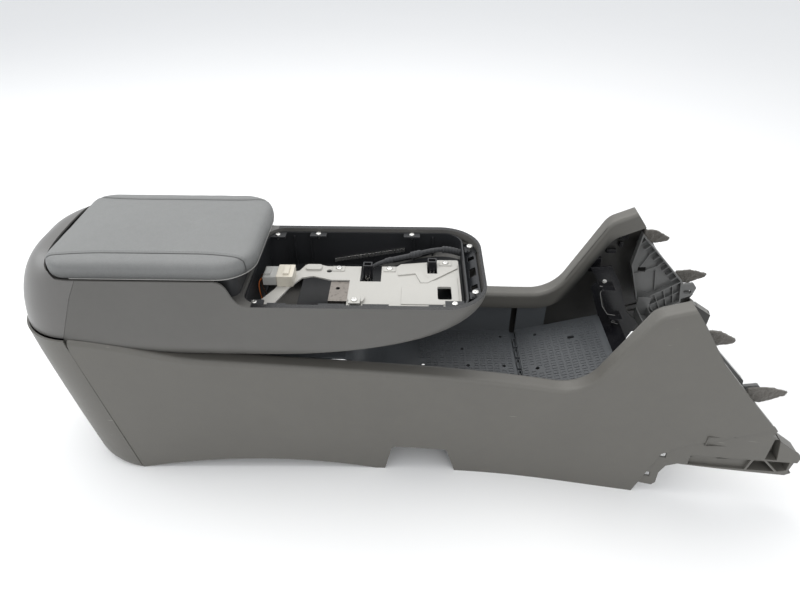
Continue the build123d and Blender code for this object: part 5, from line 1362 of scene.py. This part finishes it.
class CONSOLE_OT_finishes(bpy.types.Operator):
    """Makes the finishes and gives each CAD node its own."""

    bl_idname = "console.finishes"
    bl_label = "Finishes"

    def execute(self, context):
        make_finishes()
        for part in frame["record"]["subparts"]:
            give_finish(frame["nodes"][part["node"]], part["material_slot"])
        return {"FINISHED"}


class CONSOLE_OT_leads(bpy.types.Operator):
    """Lays the two thin leads of the connector."""

    bl_idname = "console.leads"
    bl_label = "Connector leads"

    def execute(self, context):
        leads = (("orange_lead", ORANGE_ROUTE, "orange_wire"), ("brown_lead", BROWN_ROUTE, "brown_wire"))
        for name, route, finish in leads:
            lead = route_curve(name + "_wire", route, LEAD_R)
            finish_piece(lead, finish, "console", finish, name)
            line_length(route_points(lead))
        return {"FINISHED"}


class CONSOLE_OT_loom(bpy.types.Operator):
    """Lays the taped wiring loom and its wraps."""

    bl_idname = "console.loom"
    bl_label = "Wiring loom"

    def execute(self, context):
        loom = route_curve("wiring_loom_run", LOOM_ROUTE, LOOM_R)
        finish_piece(loom, "loom_sleeve", "console", "loom_sleeve", "wiring_loom")
        points = route_points(loom)
        for number, (start, end, radius, laps) in enumerate(LOOM_WRAPS):
            wrap = sleeve(f"loom_wrap_{number + 1}", points, start, end, radius * MM, laps)
            finish_piece(wrap, "loom_sleeve", "console", "loom_sleeve")
        return {"FINISHED"}


class CONSOLE_OT_lid(bpy.types.Operator):
    """Makes the padded lid with its stitches and pale base edge."""

    bl_idname = "console.lid"
    bl_label = "Padded lid"

    def execute(self, context):
        lid = build_lid()
        build_stitches(lid)
        build_trim()
        return {"FINISHED"}


class CONSOLE_OT_treads(bpy.types.Operator):
    """Makes the raised outlines on the tray floors and the cells in their joint."""

    bl_idname = "console.treads"
    bl_label = "Tray treads"

    def execute(self, context):
        build_treads()
        build_groove_ribs()
        return {"FINISHED"}


class CONSOLE_OT_fittings(bpy.types.Operator):
    """Makes the clip rails, webs and flange pads at the console's front."""

    bl_idname = "console.fittings"
    bl_label = "Front fittings"

    def execute(self, context):
        build_rail_clips()
        build_webs()
        build_pads()
        return {"FINISHED"}


class CONSOLE_OT_felts(bpy.types.Operator):
    """Makes the four felt tongues."""

    bl_idname = "console.felts"
    bl_label = "Felt tongues"

    def execute(self, context):
        for number, side in enumerate(SIDES):
            for height, (long, tall, drop, seed) in FELTS.items():
                build_felt(f"{side}_{height}_felt", long, tall, drop, seed + number)
        return {"FINISHED"}


class CONSOLE_OT_studio(bpy.types.Operator):
    """Sets the pale floor and the soft lights."""

    bl_idname = "console.studio"
    bl_label = "Studio"

    def execute(self, context):
        made = bmesh.new()
        bmesh.ops.create_grid(made, x_segments=2, y_segments=2, size=FLOOR_HALF)
        floor = mesh_object("floor", made)
        pale = Finish("pale_floor", Roughness=0.9)
        cloud = pale.cloud(1.5, 2.0)
        pale.feed("Base Color", pale.shaded(FLOOR_COLOUR, 0.99 + cloud * 0.02))
        floor.data.materials.append(pale.material)
        world = bpy.data.worlds.new("studio")
        world.use_nodes = True
        world.node_tree.nodes["Background"].inputs["Color"].default_value = SKY_COLOUR
        world.node_tree.nodes["Background"].inputs["Strength"].default_value = SKY_STRENGTH
        context.scene.world = world
        for name, place, aim, wide, tall, power, colour in LIGHTS:
            data = bpy.data.lights.new(name, "AREA")
            data.shape = "RECTANGLE"
            data.size = wide
            data.size_y = tall
            data.energy = power
            data.color = colour
            light = new_object(name, data)
            facing = (Vector(place) - Vector(aim)).to_track_quat("Z", "Y")
            light.matrix_world = Matrix.Translation(Vector(place)) @ facing.to_matrix().to_4x4()
        context.scene.view_settings.view_transform = "Standard"
        return {"FINISHED"}


OPERATORS = (
    CONSOLE_OT_camera,
    CONSOLE_OT_finishes,
    CONSOLE_OT_leads,
    CONSOLE_OT_loom,
    CONSOLE_OT_lid,
    CONSOLE_OT_treads,
    CONSOLE_OT_fittings,
    CONSOLE_OT_felts,
    CONSOLE_OT_studio,
)


class CONSOLE_PT_panel(bpy.types.Panel):
    """Sizes, colours and steps of the console's dressing."""

    bl_idname = "CONSOLE_PT_panel"
    bl_label = "Console"
    bl_space_type = "VIEW_3D"
    bl_region_type = "UI"
    bl_category = "Console"

    def draw(self, context):
        layout = self.layout
        for group in (context.scene.console_sizes, context.scene.console_colours):
            for name in group.bl_rna.properties.keys():
                if name not in ("rna_type", "name"):
                    layout.prop(group, name)
        for operator in OPERATORS:
            layout.operator(operator.bl_idname)


CLASSES = (ConsoleSizes, ConsoleColours, *OPERATORS, CONSOLE_PT_panel)


def register():
    for item in CLASSES:
        bpy.utils.register_class(item)
    bpy.types.Scene.console_sizes = bpy.props.PointerProperty(type=ConsoleSizes)
    bpy.types.Scene.console_colours = bpy.props.PointerProperty(type=ConsoleColours)


def unregister():
    del bpy.types.Scene.console_colours
    del bpy.types.Scene.console_sizes
    for item in reversed(CLASSES):
        bpy.utils.unregister_class(item)


def main():
    """Registers the add-on and makes every piece in order."""
    register()
    for operator in OPERATORS:
        group, name = operator.bl_idname.split(".")
        getattr(getattr(bpy.ops, group), name)()
    bpy.context.view_layer.update()


if __name__ == "__main__":
    main()
